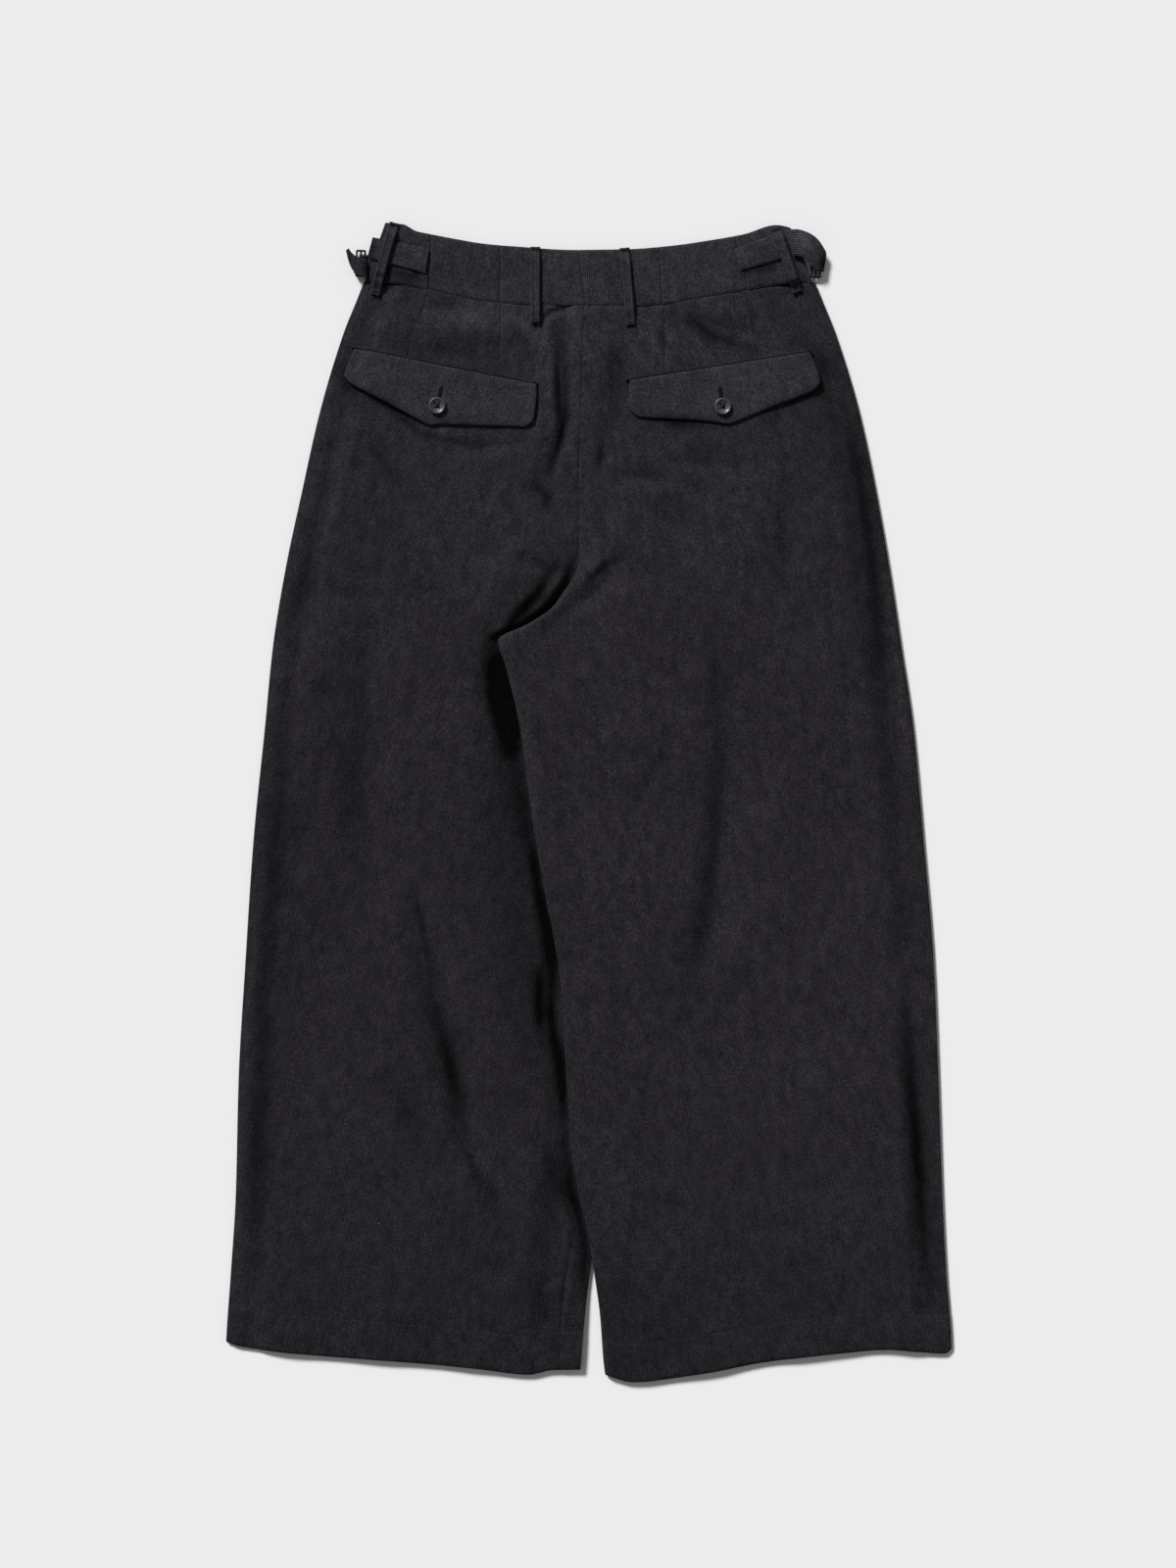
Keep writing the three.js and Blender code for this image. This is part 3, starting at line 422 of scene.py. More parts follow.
# %% Reading a table of folds or streaks
END_SHARE = 0.35


def nearest_on(marks, x, y):
    """How far each point is from a fold's line, and how far along the line that is."""
    marks = np.array(marks, float)
    away = np.full(np.shape(x), np.inf)
    along = np.zeros(np.shape(x))
    for i, (start, end) in enumerate(zip(marks[:-1], marks[1:])):
        run = end - start
        t = np.clip(((x - start[0]) * run[0] + (y - start[1]) * run[1]) / (run @ run), 0, 1)
        here = np.hypot(x - start[0] - run[0] * t, y - start[1] - run[1] * t)
        along = np.where(here < away, (i + t) / (len(marks) - 1), along)
        away = np.minimum(here, away)
    return away, along


def folded(table, x, y):
    """How much the lines of a table raise or sink each point, or paint shade, highlight or tone on
    it.
    """
    total = np.zeros(np.shape(x))
    for marks, width, height in table:
        away, along = nearest_on(marks, x, y)
        strength = height * mix(END_SHARE, 1, np.sin(np.pi * along))
        total = total + strength * np.exp(-((away / width) ** 2))
    return total


beside_seam = folded(BROAD_FOLDS, np.array([-23.9]), np.array([378.0]))[0]
print("the fold beside the seat seam is", round(float(beside_seam), 2), "mm")

# %% [markdown]
# Cloth that isn't quite flat
#
# Even the smooth parts of a leg rise and fall by a third of a millimetre. A handful of long, low
# waves in different directions gives that. Their numbers come from a fixed seed, so the cloth is
# the same each time. Most of them run across the leg, because cloth ripples along its length.

# %% Low waves
seeded = np.random.default_rng(14)
WAVES = [
    (length, seeded.normal(0, 0.7), seeded.uniform(0, 2 * math.pi), 0.062 * length / 60)
    for length in seeded.uniform(26, 95, 40)
]


def uneven(x, y):
    total = np.zeros(np.shape(x))
    for length, heading, phase, height in WAVES:
        across = x * math.cos(heading) + y * math.sin(heading)
        total = total + height * np.sin(2 * math.pi * across / length + phase)
    return total


lengths = [wave[0] for wave in WAVES]
print("waves", len(WAVES), "from", round(min(lengths)), "to", round(max(lengths)), "mm")

# %% [markdown]
# How high the back lies
#
# Near each side seam the cloth is pressed flat, then there is a shallow channel, and then it rises
# to the full height of the leg. The right leg lies over the inside of the left one, so the left
# leg's cloth sinks before it goes under. These heights are the CAD model's.

# %% Height of the back
EDGE_TOP = CLOTH + SEAM_GAP + CLOTH
LAYERS_APART = 3.4
LAP_RISE = 3.7
SUNK_UNDER_LAP = 3
NEAR_X, NEAR_Y = 22, 18
edge_share = line_through([(0, 0), (7, 0.42), (12, 0.45), (21, 0.24), (38, 0.94), (60, 1)])
beside_flat = line_through([(-520, 6), (40, 10), (100, 8), (142, 1.5), (206, 2), (240, 8)])
beside_reach = line_through([
    (-520, 10), (-316, 14), (-142, 26), (58, 36), (120, 22), (142, 12), (206, 10), (240, 16),
])


def beside_free(x, y):
    """0 where the right leg covers the left one, and 1 where the left leg's cloth is free."""
    return ease(right_back_inner(y) - x - beside_flat(y), 0, beside_reach(y))


def crossing(x, y):
    """How high the right leg's front runs over the left leg."""
    beside = np.where(y > CROTCH_Y, np.maximum(0, x - CROTCH_X), x - left_leg_inner(y))
    away = np.where(y > CROTCH_Y, np.hypot(beside, y - CROTCH_Y), beside)
    level = mix(28, 50, ease(y, 60, 130))
    return LAP_RISE * (1 - ease(away, level, level + 20)) * ease(y, -480, -425)


def back_height(x, y, left):
    """How high the top surface of a back lies, before its creases."""
    inside = x - side_left(y) if left else side_right(y) - x
    share = edge_share(np.clip(inside, 0, 60))
    open_height = rest_height(y) + folded(BROAD_FOLDS, x, y)
    height = mix(EDGE_TOP, np.maximum(open_height, EDGE_TOP + CLOTH), share)
    if not left:
        return np.maximum(height, crossing(x, y) + EDGE_TOP + SEAM_GAP)
    cover = 1 - ease(y, 206, 234)
    return mix(height, mix(SUNK_UNDER_LAP, height, beside_free(x, y)), cover)


def front_floor(x, y, left):
    """How far a front is lifted off the floor, so that it never lies far under its back."""
    least = np.full(np.shape(x), np.inf)
    for dx in (-NEAR_X, 0, NEAR_X):
        for dy in (-NEAR_Y, 0, NEAR_Y):
            least = np.minimum(least, back_height(x + dx, y + dy, left))
    lift = np.maximum(0, least - CLOTH - LAYERS_APART - CLOTH)
    return lift if left else np.maximum(lift, crossing(x, y))


at_knee = back_height(np.array([150.0]), np.array([-60.0]), False)[0]
print("the right back lies", round(float(at_knee), 1), "mm high at the knee")

# %% [markdown]
# The finish of corduroy
#
# Corduroy is woven with rows of cut pile: soft round ridges with a narrow dark groove between
# them, 1.8 millimetres apart here. Three things make it look real. The ridges follow the cut of
# each piece, so they read the piece's own map, called grain, which is in metres across and along
# the ridges. The pile has been brushed in patches, so it is lighter and darker over a centimetre
# or two. And the pile is made of short fibres, so each ridge is rough. An image could do this,
# but a pattern from the grain map stays sharp at any distance and turns with each piece.

# %% Short ways to add nodes
WALE = 1.785 * MM


def node_adder(tree):
    """A short way to add a node with its settings and inputs, which may be other nodes' outputs."""
    def add(kind, inputs=None, **settings):
        made = tree.nodes.new("ShaderNode" + kind)
        for key, value in settings.items():
            setattr(made, key, value)
        for key, value in (inputs or {}).items():
            if isinstance(value, bpy.types.NodeSocket):
                tree.links.new(value, made.inputs[key])
            else:
                made.inputs[key].default_value = value
        return made

    return add


def maths(add, operation, first, second=0.0, third=0.0):
    return add("Math", {0: first, 1: second, 2: third}, operation=operation).outputs[0]


def noise(add, where, scale, detail, roughness=0.5):
    """Soft random patches. The scale is about how many of them fit in a metre."""
    inputs = {"Vector": where, "Scale": scale, "Detail": detail, "Roughness": roughness}
    return add("TexNoise", inputs).outputs[0]


def blended(add, share, first, second, **settings):
    """From the first colour to the second. On a Mix node, the colours are inputs 6 and 7."""
    inputs = {0: share, 6: first, 7: second}
    return add("Mix", inputs, data_type="RGBA", **settings).outputs[2]


print("ridges", round(WALE * 1000, 2), "mm apart")

# %% [markdown]
# Ridges, nap and tint
#
# Each layer of the pile is a helper of its own. The ridges are a folded sine across the grain,
# pushed about a little, because woven ridges are never quite straight. The nap is small patches
# drawn out along the ridges, over broad ones, and it is multiplied by the streaks, which are
# painted shade and painted highlights with some pile tone. The dye is a little cooler and paler
# away from the knees, and a few specks of pale lint lie on top.

# %% Layers of the pile
WANDERS, CLOUDS, PATCHES, TUFTS, FIBRES, LINT_SPECKS = 70.0, 11.0, 100.0, 520.0, 1600.0, 75.0
LINT = (0.12, 0.12, 0.125, 1)
PAINTED_SHADE_BLACK = (0, 0, 0, 1)
KNEE_Y = -0.06


def ridges(add, grain, place):
    """1 on the crest of a ridge and 0 in a groove."""
    wander = noise(add, place, WANDERS, 3.0, 0.6)
    across = maths(add, "MULTIPLY_ADD", wander, 1.1 * MM, grain.outputs[0])
    wave = maths(add, "SINE", maths(add, "MULTIPLY", across, math.pi / WALE))
    return maths(add, "POWER", maths(add, "ABSOLUTE", wave), 0.8)


def brushed_and_painted_light(add, grain, broad, light_and_tone_streak, nap):
    """How bright the pile is: small and broad patches of brushed pile, times the streaks, which are
    painted shade and painted highlights with some pile tone.
    """
    along = maths(add, "MULTIPLY", grain.outputs[1], 0.55)
    lengthwise = add("CombineXYZ", {0: grain.outputs[0], 1: along}).outputs[0]
    patch = noise(add, lengthwise, PATCHES, 5.0, 0.8)
    patchy = maths(add, "MULTIPLY_ADD", patch, nap, 1 - nap / 2)
    cloudy = maths(add, "MULTIPLY_ADD", broad, nap * 0.2, 1 - nap * 0.1)
    return maths(add, "MULTIPLY", maths(add, "MULTIPLY", patchy, cloudy), light_and_tone_streak)


def dyed(add, place, broad, crest, cool_crest):
    """The crest's colour, which turns cooler away from the knees."""
    height = add("SeparateXYZ", {0: place}).outputs[1]
    from_knee = maths(add, "ABSOLUTE", maths(add, "ADD", height, -KNEE_Y))
    cool = maths(add, "MULTIPLY_ADD", from_knee, 5.0, -2.1)
    cool = maths(add, "MULTIPLY_ADD", broad, 2.0, cool)
    return blended(add, cool, crest, cool_crest)


def with_lint(add, place, pile):
    """A speck is the very middle of a cell, in the few cells that chance picks."""
    specks = add("TexVoronoi", {"Vector": place, "Scale": LINT_SPECKS})
    chosen = add("SeparateXYZ", {0: specks.outputs["Color"]}).outputs[0]
    near = maths(add, "LESS_THAN", specks.outputs["Distance"], 0.035)
    lint = maths(add, "MULTIPLY", near, maths(add, "GREATER_THAN", chosen, 0.965))
    return blended(add, lint, pile, LINT)


print("patches of nap", round(1000 / PATCHES), "mm and tufts", round(1000 / TUFTS, 1), "mm")

# %% [markdown]
# The two corduroys
#
# The legs and the trimmings are the same cloth, but the trimmings are pressed and stiffened, so
# they catch a little more light. The helper joins the layers: shade runs from the dark of the
# groove to the crest's colour, and the same ridges and tufts also give the relief.

# %% Corduroy for the legs and for the trimmings
LEG_PILE = {
    "groove": (0.005, 0.0046, 0.0057, 1), "crest": (0.0272, 0.0244, 0.0288, 1),
    "cool_crest": (0.0255, 0.0256, 0.0305, 1), "nap": 2.9, "rise": 0.35 * MM,
}
TRIM_PILE = {
    "groove": (0.006, 0.006, 0.007, 1), "crest": (0.0362, 0.0354, 0.0435, 1),
    "cool_crest": (0.0345, 0.0350, 0.0415, 1), "nap": 2.4, "rise": 0.3 * MM,
}


def corduroy_finish(name, groove, crest, cool_crest, nap, rise):
    """groove and crest are the pile's darkest and lightest colours, and nap is how patchy it is."""
    material = bpy.data.materials.new(name)
    material.use_nodes = True
    add = node_adder(material.node_tree)
    grain = add("SeparateXYZ", {0: add("UVMap", uv_map="grain").outputs[0]})
    place = add("TexCoord").outputs["Object"]
    ridge = ridges(add, grain, place)
    broad = noise(add, place, CLOUDS, 2.0)
    tuft = noise(add, place, TUFTS, 2.0, 0.6)
    fibre = noise(add, place, FIBRES, 1.0)
    # The nap attribute holds the streak tables: painted shade and painted highlights, with some
    # pile tone.
    light_and_tone_streak = maths(add, "ADD", add("Attribute", attribute_name="nap").outputs["Fac"], 1.0)
    tufted = maths(add, "MULTIPLY_ADD", tuft, 2.8, -0.4)
    rough_pile = maths(add, "MULTIPLY", tufted, maths(add, "MULTIPLY_ADD", fibre, 1.4, 0.3))
    ribbed = maths(add, "MULTIPLY_ADD", ridge, 0.7, 0.3)
    shade = maths(add, "MULTIPLY", ribbed, brushed_and_painted_light(add, grain, broad, light_and_tone_streak, nap))
    shade = maths(add, "MULTIPLY", shade, rough_pile)
    # Where the streaks paint shade, the groove's colour goes towards black.
    dark = blended(add, light_and_tone_streak, PAINTED_SHADE_BLACK, groove)
    tint = dyed(add, place, broad, crest, cool_crest)
    pile = blended(add, shade, dark, tint, clamp_factor=False)
    colour = with_lint(add, place, pile)
    height = maths(add, "MULTIPLY_ADD", tuft, 0.8, maths(add, "MULTIPLY_ADD", fibre, 0.4, ridge))
    bump = add("Bump", {"Strength": 1.0, "Distance": rise, "Height": height})
    shader = material.node_tree.nodes["Principled BSDF"]
    material.node_tree.links.new(colour, shader.inputs["Base Color"])
    material.node_tree.links.new(bump.outputs[0], shader.inputs["Normal"])
    shader.inputs["Roughness"].default_value = 0.95
    shader.inputs["Specular IOR Level"].default_value = 0.02
    shader.inputs["Sheen Weight"].default_value = 0.012
    shader.inputs["Sheen Roughness"].default_value = 0.5
    return material


leg_corduroy = corduroy_finish("leg corduroy", **LEG_PILE)
trim_corduroy = corduroy_finish("trim corduroy", **TRIM_PILE)
print(leg_corduroy.name, "has", len(leg_corduroy.node_tree.nodes), "nodes")

# %% [markdown]
# Plain finishes: thread, button and metal
#
# The small parts need no map. The thread is dark and nearly matt, the buttons are moulded grey
# resin with a soft polish, and the buckles are dark polished metal.

# %% Thread, resin and metal
def plain_finish(name, colour, roughness, metallic=0.0, specular=0.5):
    material = bpy.data.materials.new(name)
    material.use_nodes = True
    shader = material.node_tree.nodes["Principled BSDF"]
    shader.inputs["Base Color"].default_value = colour
    shader.inputs["Roughness"].default_value = roughness
    shader.inputs["Metallic"].default_value = metallic
    shader.inputs["Specular IOR Level"].default_value = specular
    return material


dark_thread = plain_finish("dark thread", (0.006, 0.006, 0.007, 1), 0.7, specular=0.1)
button_resin = plain_finish("button resin", (0.038, 0.038, 0.043, 1), 0.4)
buckle_metal = plain_finish("buckle metal", (0.02, 0.02, 0.022, 1), 0.3, metallic=0.9)
print("finishes", [finish.name for finish in (dark_thread, button_resin, buckle_metal)])

# %% [markdown]
# Where the trousers lie in the frame
#
# The outlines above are drawn round the middle of the picture, but the frame's origin is under
# the middle of the whole garment. The left button is at a known place in both, so the difference
# between the two is how far everything moves. A flap's outline is how deep it is at each place
# along its top edge, and its two ends bow a little: where the bow starts, how far it goes and how
# deep down it ends.

# %% Flaps' outlines and the shift between drawing and frame
FLAP_LENGTH = 164
FLAPS = {
    "left": {
        "corner": (-209, 401.6), "turn": -0.1984, "inward": 1, "lean": 0.073,
        "depths": line_through([
            (0, 26), (5, 30.5), (40, 41.8), (70, 51), (79, 53.7), (92, 51), (121, 46.2),
            (148, 41), (159, 38.6), (FLAP_LENGTH, 33.5),
        ]),
        "outer_end": (1.5, -4, 46), "inner_end": (2.3, 3.4, 52),
    },
    "right": {
        "corner": (196.4, 397.9), "turn": 0.156, "inward": -1, "lean": 0.024,
        "depths": line_through([
            (0, 28), (5, 34), (40, 43), (70, 50.2), (80, 52.2), (92, 48.8), (113, 43.2),
            (135, 38.4), (151, 35.4), (160, 33), (FLAP_LENGTH, 26),
        ]),
        "outer_end": (0.5, -5.4, 50), "inner_end": (-2.5, 4.2, 40),
    },
}
BUTTON_ALONG, BUTTON_DEPTH = 84, 36.3


def flap_point(flap, along, down):
    """A point of a flap, so far along its top edge and so far down from it."""
    cos, sin = math.cos(flap["turn"]), math.sin(flap["turn"])
    run = along * flap["inward"]
    return flap["corner"][0] + run * cos + down * sin, flap["corner"][1] + run * sin - down * cos


low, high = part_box("button_left")
drawn = flap_point(FLAPS["left"], BUTTON_ALONG, BUTTON_DEPTH)
PLACE = Vector(((low.x + high.x) / 2 - drawn[0] * MM, (low.y + high.y) / 2 - drawn[1] * MM, 0))
print("shift", [round(value * 1000, 3) for value in PLACE], "mm")

# %% [markdown]
# A piece of cloth from a grid
#
# Each cut piece starts as a flat grid of squares. Its points are then moved to where the real
# piece lies. Where a seam or a crease is sharp, the rows of the grid are put closer together, so
# that the faces are spent where they show. The underside comes from a Solidify modifier, which
# gives the cloth its thickness.

# %% Grids that become cloth
DARKEST_PAINTED_SHADE, PALEST_PAINTED_LIGHT = -0.93, 0.9


def spaced(count, *crowded):
    """Places from 0 to 1, closer together round each (place, reach, how much closer)."""
    fine = np.linspace(0, 1, 4001)
    density = np.ones(len(fine))
    for place, reach, more in crowded:
        density = density + more * np.exp(-(((fine - place) / reach) ** 2))
    total = np.cumsum(density)
    total = (total - total[0]) / (total[-1] - total[0])
    return np.interp(np.linspace(0, 1, count), total, fine)


def cloth_piece(node, columns, rows, shape, grain, material, cloth, light_and_tone_streaks=(), tone=0.0):
    """One piece of cloth for a CAD node: shape(u, v) gives x, y and z in mm, and grain(u, v, x, y)
    how far a point is across and along the ridges in mm."""
    shell = bmesh.new()
    bmesh.ops.create_grid(shell, x_segments=len(columns) - 1, y_segments=len(rows) - 1, size=0.5)
    mesh = bpy.data.meshes.new(node + "_cloth")
    shell.to_mesh(mesh)
    shell.free()
    points = np.empty(len(mesh.vertices) * 3, np.float32)
    mesh.vertices.foreach_get("co", points)
    points = points.reshape(-1, 3)
    u = np.interp(points[:, 0] + 0.5, np.linspace(0, 1, len(columns)), columns)
    v = np.interp(points[:, 1] + 0.5, np.linspace(0, 1, len(rows)), rows)
    x, y, z = (np.asarray(part, float) + 0 * u for part in shape(u, v))
    across, along = grain(u, v, x, y)
    placed = np.stack([x, y, z], 1) * MM + np.array(PLACE)
    mesh.vertices.foreach_set("co", placed.astype(np.float32).ravel())
    corners = np.empty(len(mesh.loops), np.int32)
    mesh.loops.foreach_get("vertex_index", corners)
    pattern = np.stack([across + 0 * u, along + 0 * u], 1)[corners] * MM
    mesh.uv_layers.new(name="grain").data.foreach_set("uv", pattern.astype(np.float32).ravel())
    # The nap attribute is painted shade and painted highlights, with some pile tone, from the
    # streak tables, plus the piece's even tone.
    nap = np.clip(folded(light_and_tone_streaks, x, y) + tone, DARKEST_PAINTED_SHADE, PALEST_PAINTED_LIGHT).astype(np.float32)
    mesh.attributes.new("nap", "FLOAT", "POINT").data.foreach_set("value", nap)
    mesh.polygons.foreach_set("use_smooth", np.ones(len(mesh.polygons), bool))
    mesh.materials.append(material)
    mesh.update()
    piece = bpy.data.objects.new(node + "_cloth", mesh)
    bpy.context.scene.collection.objects.link(piece)
    thickness = piece.modifiers.new("cloth", "SOLIDIFY")
    thickness.thickness = cloth * MM
    thickness.offset = -1
    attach(piece, "root")
    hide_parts(node)
    return piece


# %% [markdown]
# The cut of each piece
#
# A maker wants to know how big a piece was before it was sewn. That is measured over the grid's
# own rows and columns, so the way round each fold counts. A strip too narrow to be stated by
# itself, such as a welt or a belt loop, isn't stated; the piece that it is sewn to is.

# %% Flat sizes and turned edges
STRAP_WIDTH = 20


def flat_size(piece, columns, rows):
    """The width and length that the piece was cut to, and its area, measured over its surface."""
    points = np.empty(len(piece.data.vertices) * 3, np.float32)
    piece.data.vertices.foreach_get("co", points)
    points = points.reshape(len(rows), len(columns), 3).astype(float)
    width = np.linalg.norm(np.diff(points, axis=1), axis=2).sum(1).max()
    length = np.linalg.norm(np.diff(points, axis=0), axis=2).sum(0).max()
    return (width, length), sum(face.area for face in piece.data.polygons)


def declare_cloth(piece, columns, rows):
    (width, length), area = flat_size(piece, columns, rows)
    area = min(max(area, 0.3 * width * length), width * length)
    size = (round(width * 1000, 1), "by", round(length * 1000, 1), "mm")
    print(piece.name, "cut", *size, "area", round(area, 5), "m2")


def rolled(away, depth, reach):
    """How far cloth turns down at an edge that is so far away."""
    return depth * np.exp(-((away / reach) ** 2))


def straight_grain(u, v, x, y):
    return x, y


def strap_grain(length):
    """The ridges of a tab or strap run along it."""
    return lambda u, v, x, y: (v * STRAP_WIDTH, u * length)


# %% [markdown]
# The two backs
#
# Each back is one long panel from the hem to the waist. On a leg cut like this the ridges don't
# run straight down: the panel is shaped, so they lean outwards towards the waist. The tables below
# say how much they lean at each height, and adding up the lean gives the grain map. The panel
# turns down into each seam, and the hem is a folded edge with its stitches 35 millimetres up.

# %% Lean of the ridges
def leaning(table):
    """The sideways run of a ridge at each height, from a table of its lean."""
    heights = np.linspace(-530, 520, 1051)
    lean = line_through(table)(heights)
    run = np.concatenate([[0], np.cumsum((lean[1:] + lean[:-1]) / 2 * np.diff(heights))])
    return lambda y: np.interp(y, heights, run)


lean_left = leaning([
    (-520, 0.105), (-420, 0.11), (-290, 0.13), (-28, 0.16), (100, 0.18), (224, 0.213),
    (328, 0.236), (410, 0.24),
])
lean_right = leaning([
    (-520, 0.1), (-420, 0.105), (-250, 0.125), (150, 0.125), (258, 0.153), (310, 0.19),
    (410, 0.23),
])


def leg_grain(left):
    def grain(u, v, x, y):
        return (x - lean_left(y), y) if left else (x + lean_right(y), y)

    return grain


run = float(lean_left(450) - lean_left(-500))
print("from hem to waist a ridge runs", round(run), "mm sideways")

# %% [markdown]
# The shape of a back
#
# The heights come in layers: the broad lie of the leg, then the creases, then the hem's folded
# step with its row of stitches, then the pucker along the seat seam, where the two backs were
# eased together, and last the turn of the cloth into each seam.

# %% The backs
HEM_DEPTH = 35
BACK_LENGTH = 958
CREASE_DEPTH, FOLD_DEPTH = 1.4, 0.35
hem_place = HEM_DEPTH / BACK_LENGTH


def back_shape(left):
    edges = (side_left, back_left_edge) if left else (right_back_inner, side_right)
    plan = leg_plan(edges[0], edges[1], waist_seam, CLOSED_SEAM_GAP)

    def shape(u, v):
        x, y = plan(u, v)
        z = back_height(x, y, left)
        inner = (1 - u if left else u) * (edges[1](y) - edges[0](y))
        outer = x - side_left(y) if left else side_right(y) - x
        # No creases on the pressed side seam, nor under the right leg.
        free = np.where(y > 220, 1, beside_free(x, y)) if left else 1
        fine = CREASE_DEPTH * folded(CREASES, x, y) + FOLD_DEPTH * folded(BROAD_FOLDS, x, y)
        z = z + (fine + uneven(x, y)) * ease(outer, 4, 30) * free
        # The hem is double, sinks in at its stitches and turns down at its edge.
        from_hem = v * BACK_LENGTH
        z = z + 0.3 * (1 - ease(from_hem, HEM_DEPTH - 4, HEM_DEPTH + 4))
        z = z - rolled(from_hem - HEM_DEPTH, 0.25, 1.3) - rolled(from_hem, 0.9, 1.6)
        # The seat seam puckers every 11 mm.
        seat = ease(y, 205, 225)
        ripple = 0.22 * np.sin(2 * np.pi * y / 11 + np.sin(y / 17)) * np.exp(-inner / 7)
        z = z + seat * (ripple - rolled(inner, 0.45, 1.2))
        z = z - rolled((1 - v) * BACK_LENGTH, 0.6, 1.4)
        # The right leg's free edge rolls down on the left leg, and nothing goes below the front.
        lowest = EDGE_TOP + CLOSED_SEAM_GAP + (0 if left else crossing(x, y))
        if not left:
            z = mix(z, np.maximum(lowest, z - 2.2), (1 - seat) * np.exp(-((inner / 2.2) ** 2)))
        return x, y, np.maximum(z, lowest)

    return shape


back_rows = spaced(386, (0, 0.003, 3), (hem_place, 0.0035, 2), (1, 0.005, 3))
back_columns = spaced(116, (0, 0.012, 1), (0.93, 0.03, 1), (1, 0.008, 4))
columns_of = {"left": back_columns, "right": 1 - back_columns[::-1]}
backs = {}
for side, columns in columns_of.items():
    backs[side] = cloth_piece(
        "back_" + side, columns, back_rows, back_shape(side == "left"), leg_grain(side == "left"),
        leg_corduroy, CLOTH, BACK_PAINTED_LIGHT_AND_TONE + (PAINTED_SHADE_BESIDE_LAP if side == "left" else []),
    )

# %% [markdown]
# The two fronts, underneath
#
# The fronts lie on the floor, so only their edges and their undersides can be seen. Trousers like
# these have two pressed pleats a side, which run down from the waist. A pressed pleat on a
# flat leg is a step in the cloth about a millimetre high, so it is a narrow groove in the
# underside that fades out down the thigh.

# %% The fronts with their pressed pleats
PLEATS = [
    ([(-62, 430), (-66, 380), (-76, 300), (-88, 200)], 2.2, 0.9),
    ([(-104, 430), (-110, 380), (-122, 310), (-134, 240)], 2.2, 0.8),
    ([(62, 430), (66, 380), (76, 300), (88, 200)], 2.2, 0.9),
    ([(104, 430), (110, 380), (122, 310), (134, 240)], 2.2, 0.8),
]


def front_shape(left):
    edges = (side_left, front_left_edge) if left else (front_right_edge, side_right)
    plan = leg_plan(edges[0], edges[1], front_seam)

    def shape(u, v):
        x, y = plan(u, v)
        return x, y, front_floor(x, y, left) + CLOTH + folded(PLEATS, x, y)

    return shape


front_rows = spaced(121)
front_columns = spaced(91)
fronts = {}
for side in ("left", "right"):
    fronts[side] = cloth_piece(
        "front_" + side, front_columns, front_rows, front_shape(side == "left"),
        leg_grain(side == "left"), leg_corduroy, CLOTH,
    )
    declare_cloth(fronts[side], front_columns, front_rows)

# %% [markdown]
# Laying one piece on another
#
# Flaps, loops and tabs lie on the pieces below them. To find how high, a ray is dropped on the
# finished pieces, and the highest hit round each point is kept, so that nothing cuts through.

# %% Highest point below
def surface_of(*pieces):
    trees = []
    for piece in pieces:
        shell = bmesh.new()
        shell.from_mesh(piece.data)
        trees.append(BVHTree.FromBMesh(shell))
        shell.free()
    return trees


def highest(trees, x, y, reach):
    """The highest surface in mm at and round each point, or -1 where there is none."""
    top = np.full(np.shape(x), -1.0)
    for dx in (-reach, 0, reach):
        for dy in (-reach, 0, reach):
            for i, (px, py) in enumerate(zip(x, y)):
                start = Vector(((px + dx) * MM + PLACE.x, (py + dy) * MM + PLACE.y, 0.1))
                for tree in trees:
                    hit = tree.ray_cast(start, Vector((0, 0, -1)))[0]
                    if hit:
                        top[i] = max(top[i], hit.z / MM)
    return top


at_thigh = highest(surface_of(fronts["left"]), np.array([-150.0]), np.array([100.0]), 5)[0]
print("the left front is", round(float(at_thigh), 2), "mm high at the thigh")

# %% [markdown]
# The strip behind the fly
#
# Behind the fly's opening there is a narrow shield of cloth. It hangs from the waistband's seam
# and narrows at its lower end. It can't be seen from outside, so it is plain.

# %% The fly shield
def fly_shape(u, v):
    width = mix(20, 38, np.minimum(1, v * 5))
    x = -4 + width * u
    y = mix(262, front_seam(0) - WAIST_SEAM_GAP, v)
    return x, y, highest(surface_of(fronts["left"], fronts["right"]), x, y, 5) + SEAM_GAP + CLOTH


fly_columns = spaced(9)
fly_rows = spaced(35)
fly = cloth_piece(
    "fly_shield", fly_columns, fly_rows, fly_shape, straight_grain, leg_corduroy, CLOTH,
)
declare_cloth(fly, fly_columns, fly_rows)

# %% [markdown]
# The waistband
#
# The back of the waistband is six pieces, each cut on its own, so their ridges lean different
# ways. Each piece is two layers of cloth with stiffening between, so it is a little puffed
# and turns down into its seams. The two side pieces are puckered, because the tabs of the side
# adjusters pull the waist in over them.

# %% The waistband's pieces
# Each seam: its x at the foot and at the top of the waistband.
BAND_SEAMS = [
    (-199.2, -180.5), (-141.8, -139.6), (-78.7, -77.9), (-3, -8.6), (65.7, 62.2),
    (140.5, 136.2), (199.7, 179.7),
]
BAND_EDGE_TOP = BAND_CLOTH + SEAM_GAP + BAND_CLOTH
# Each piece: its name, the lean of its ridges, how puckered it is, and its belt loop.
BAND_PIECES = [
    ("waistband_side_left", 0.3, 1.0, "belt_loop_side_left"),
    ("waistband_back_left_outer", 0.11, 0, None),
    ("waistband_back_left_inner", 0.09, 0, "belt_loop_centre_left"),
    ("waistband_back_right_inner", -0.05, 0, "belt_loop_centre_right"),
    ("waistband_back_right_outer", -0.17, 0, None),
    ("waistband_side_right", -0.4, 1.0, "belt_loop_side_right"),
]


def band_edge(seam, y):
    foot = waist_seam(seam[0])
    return mix(seam[0], seam[1], (y - foot) / (waist_top(seam[1]) - foot))


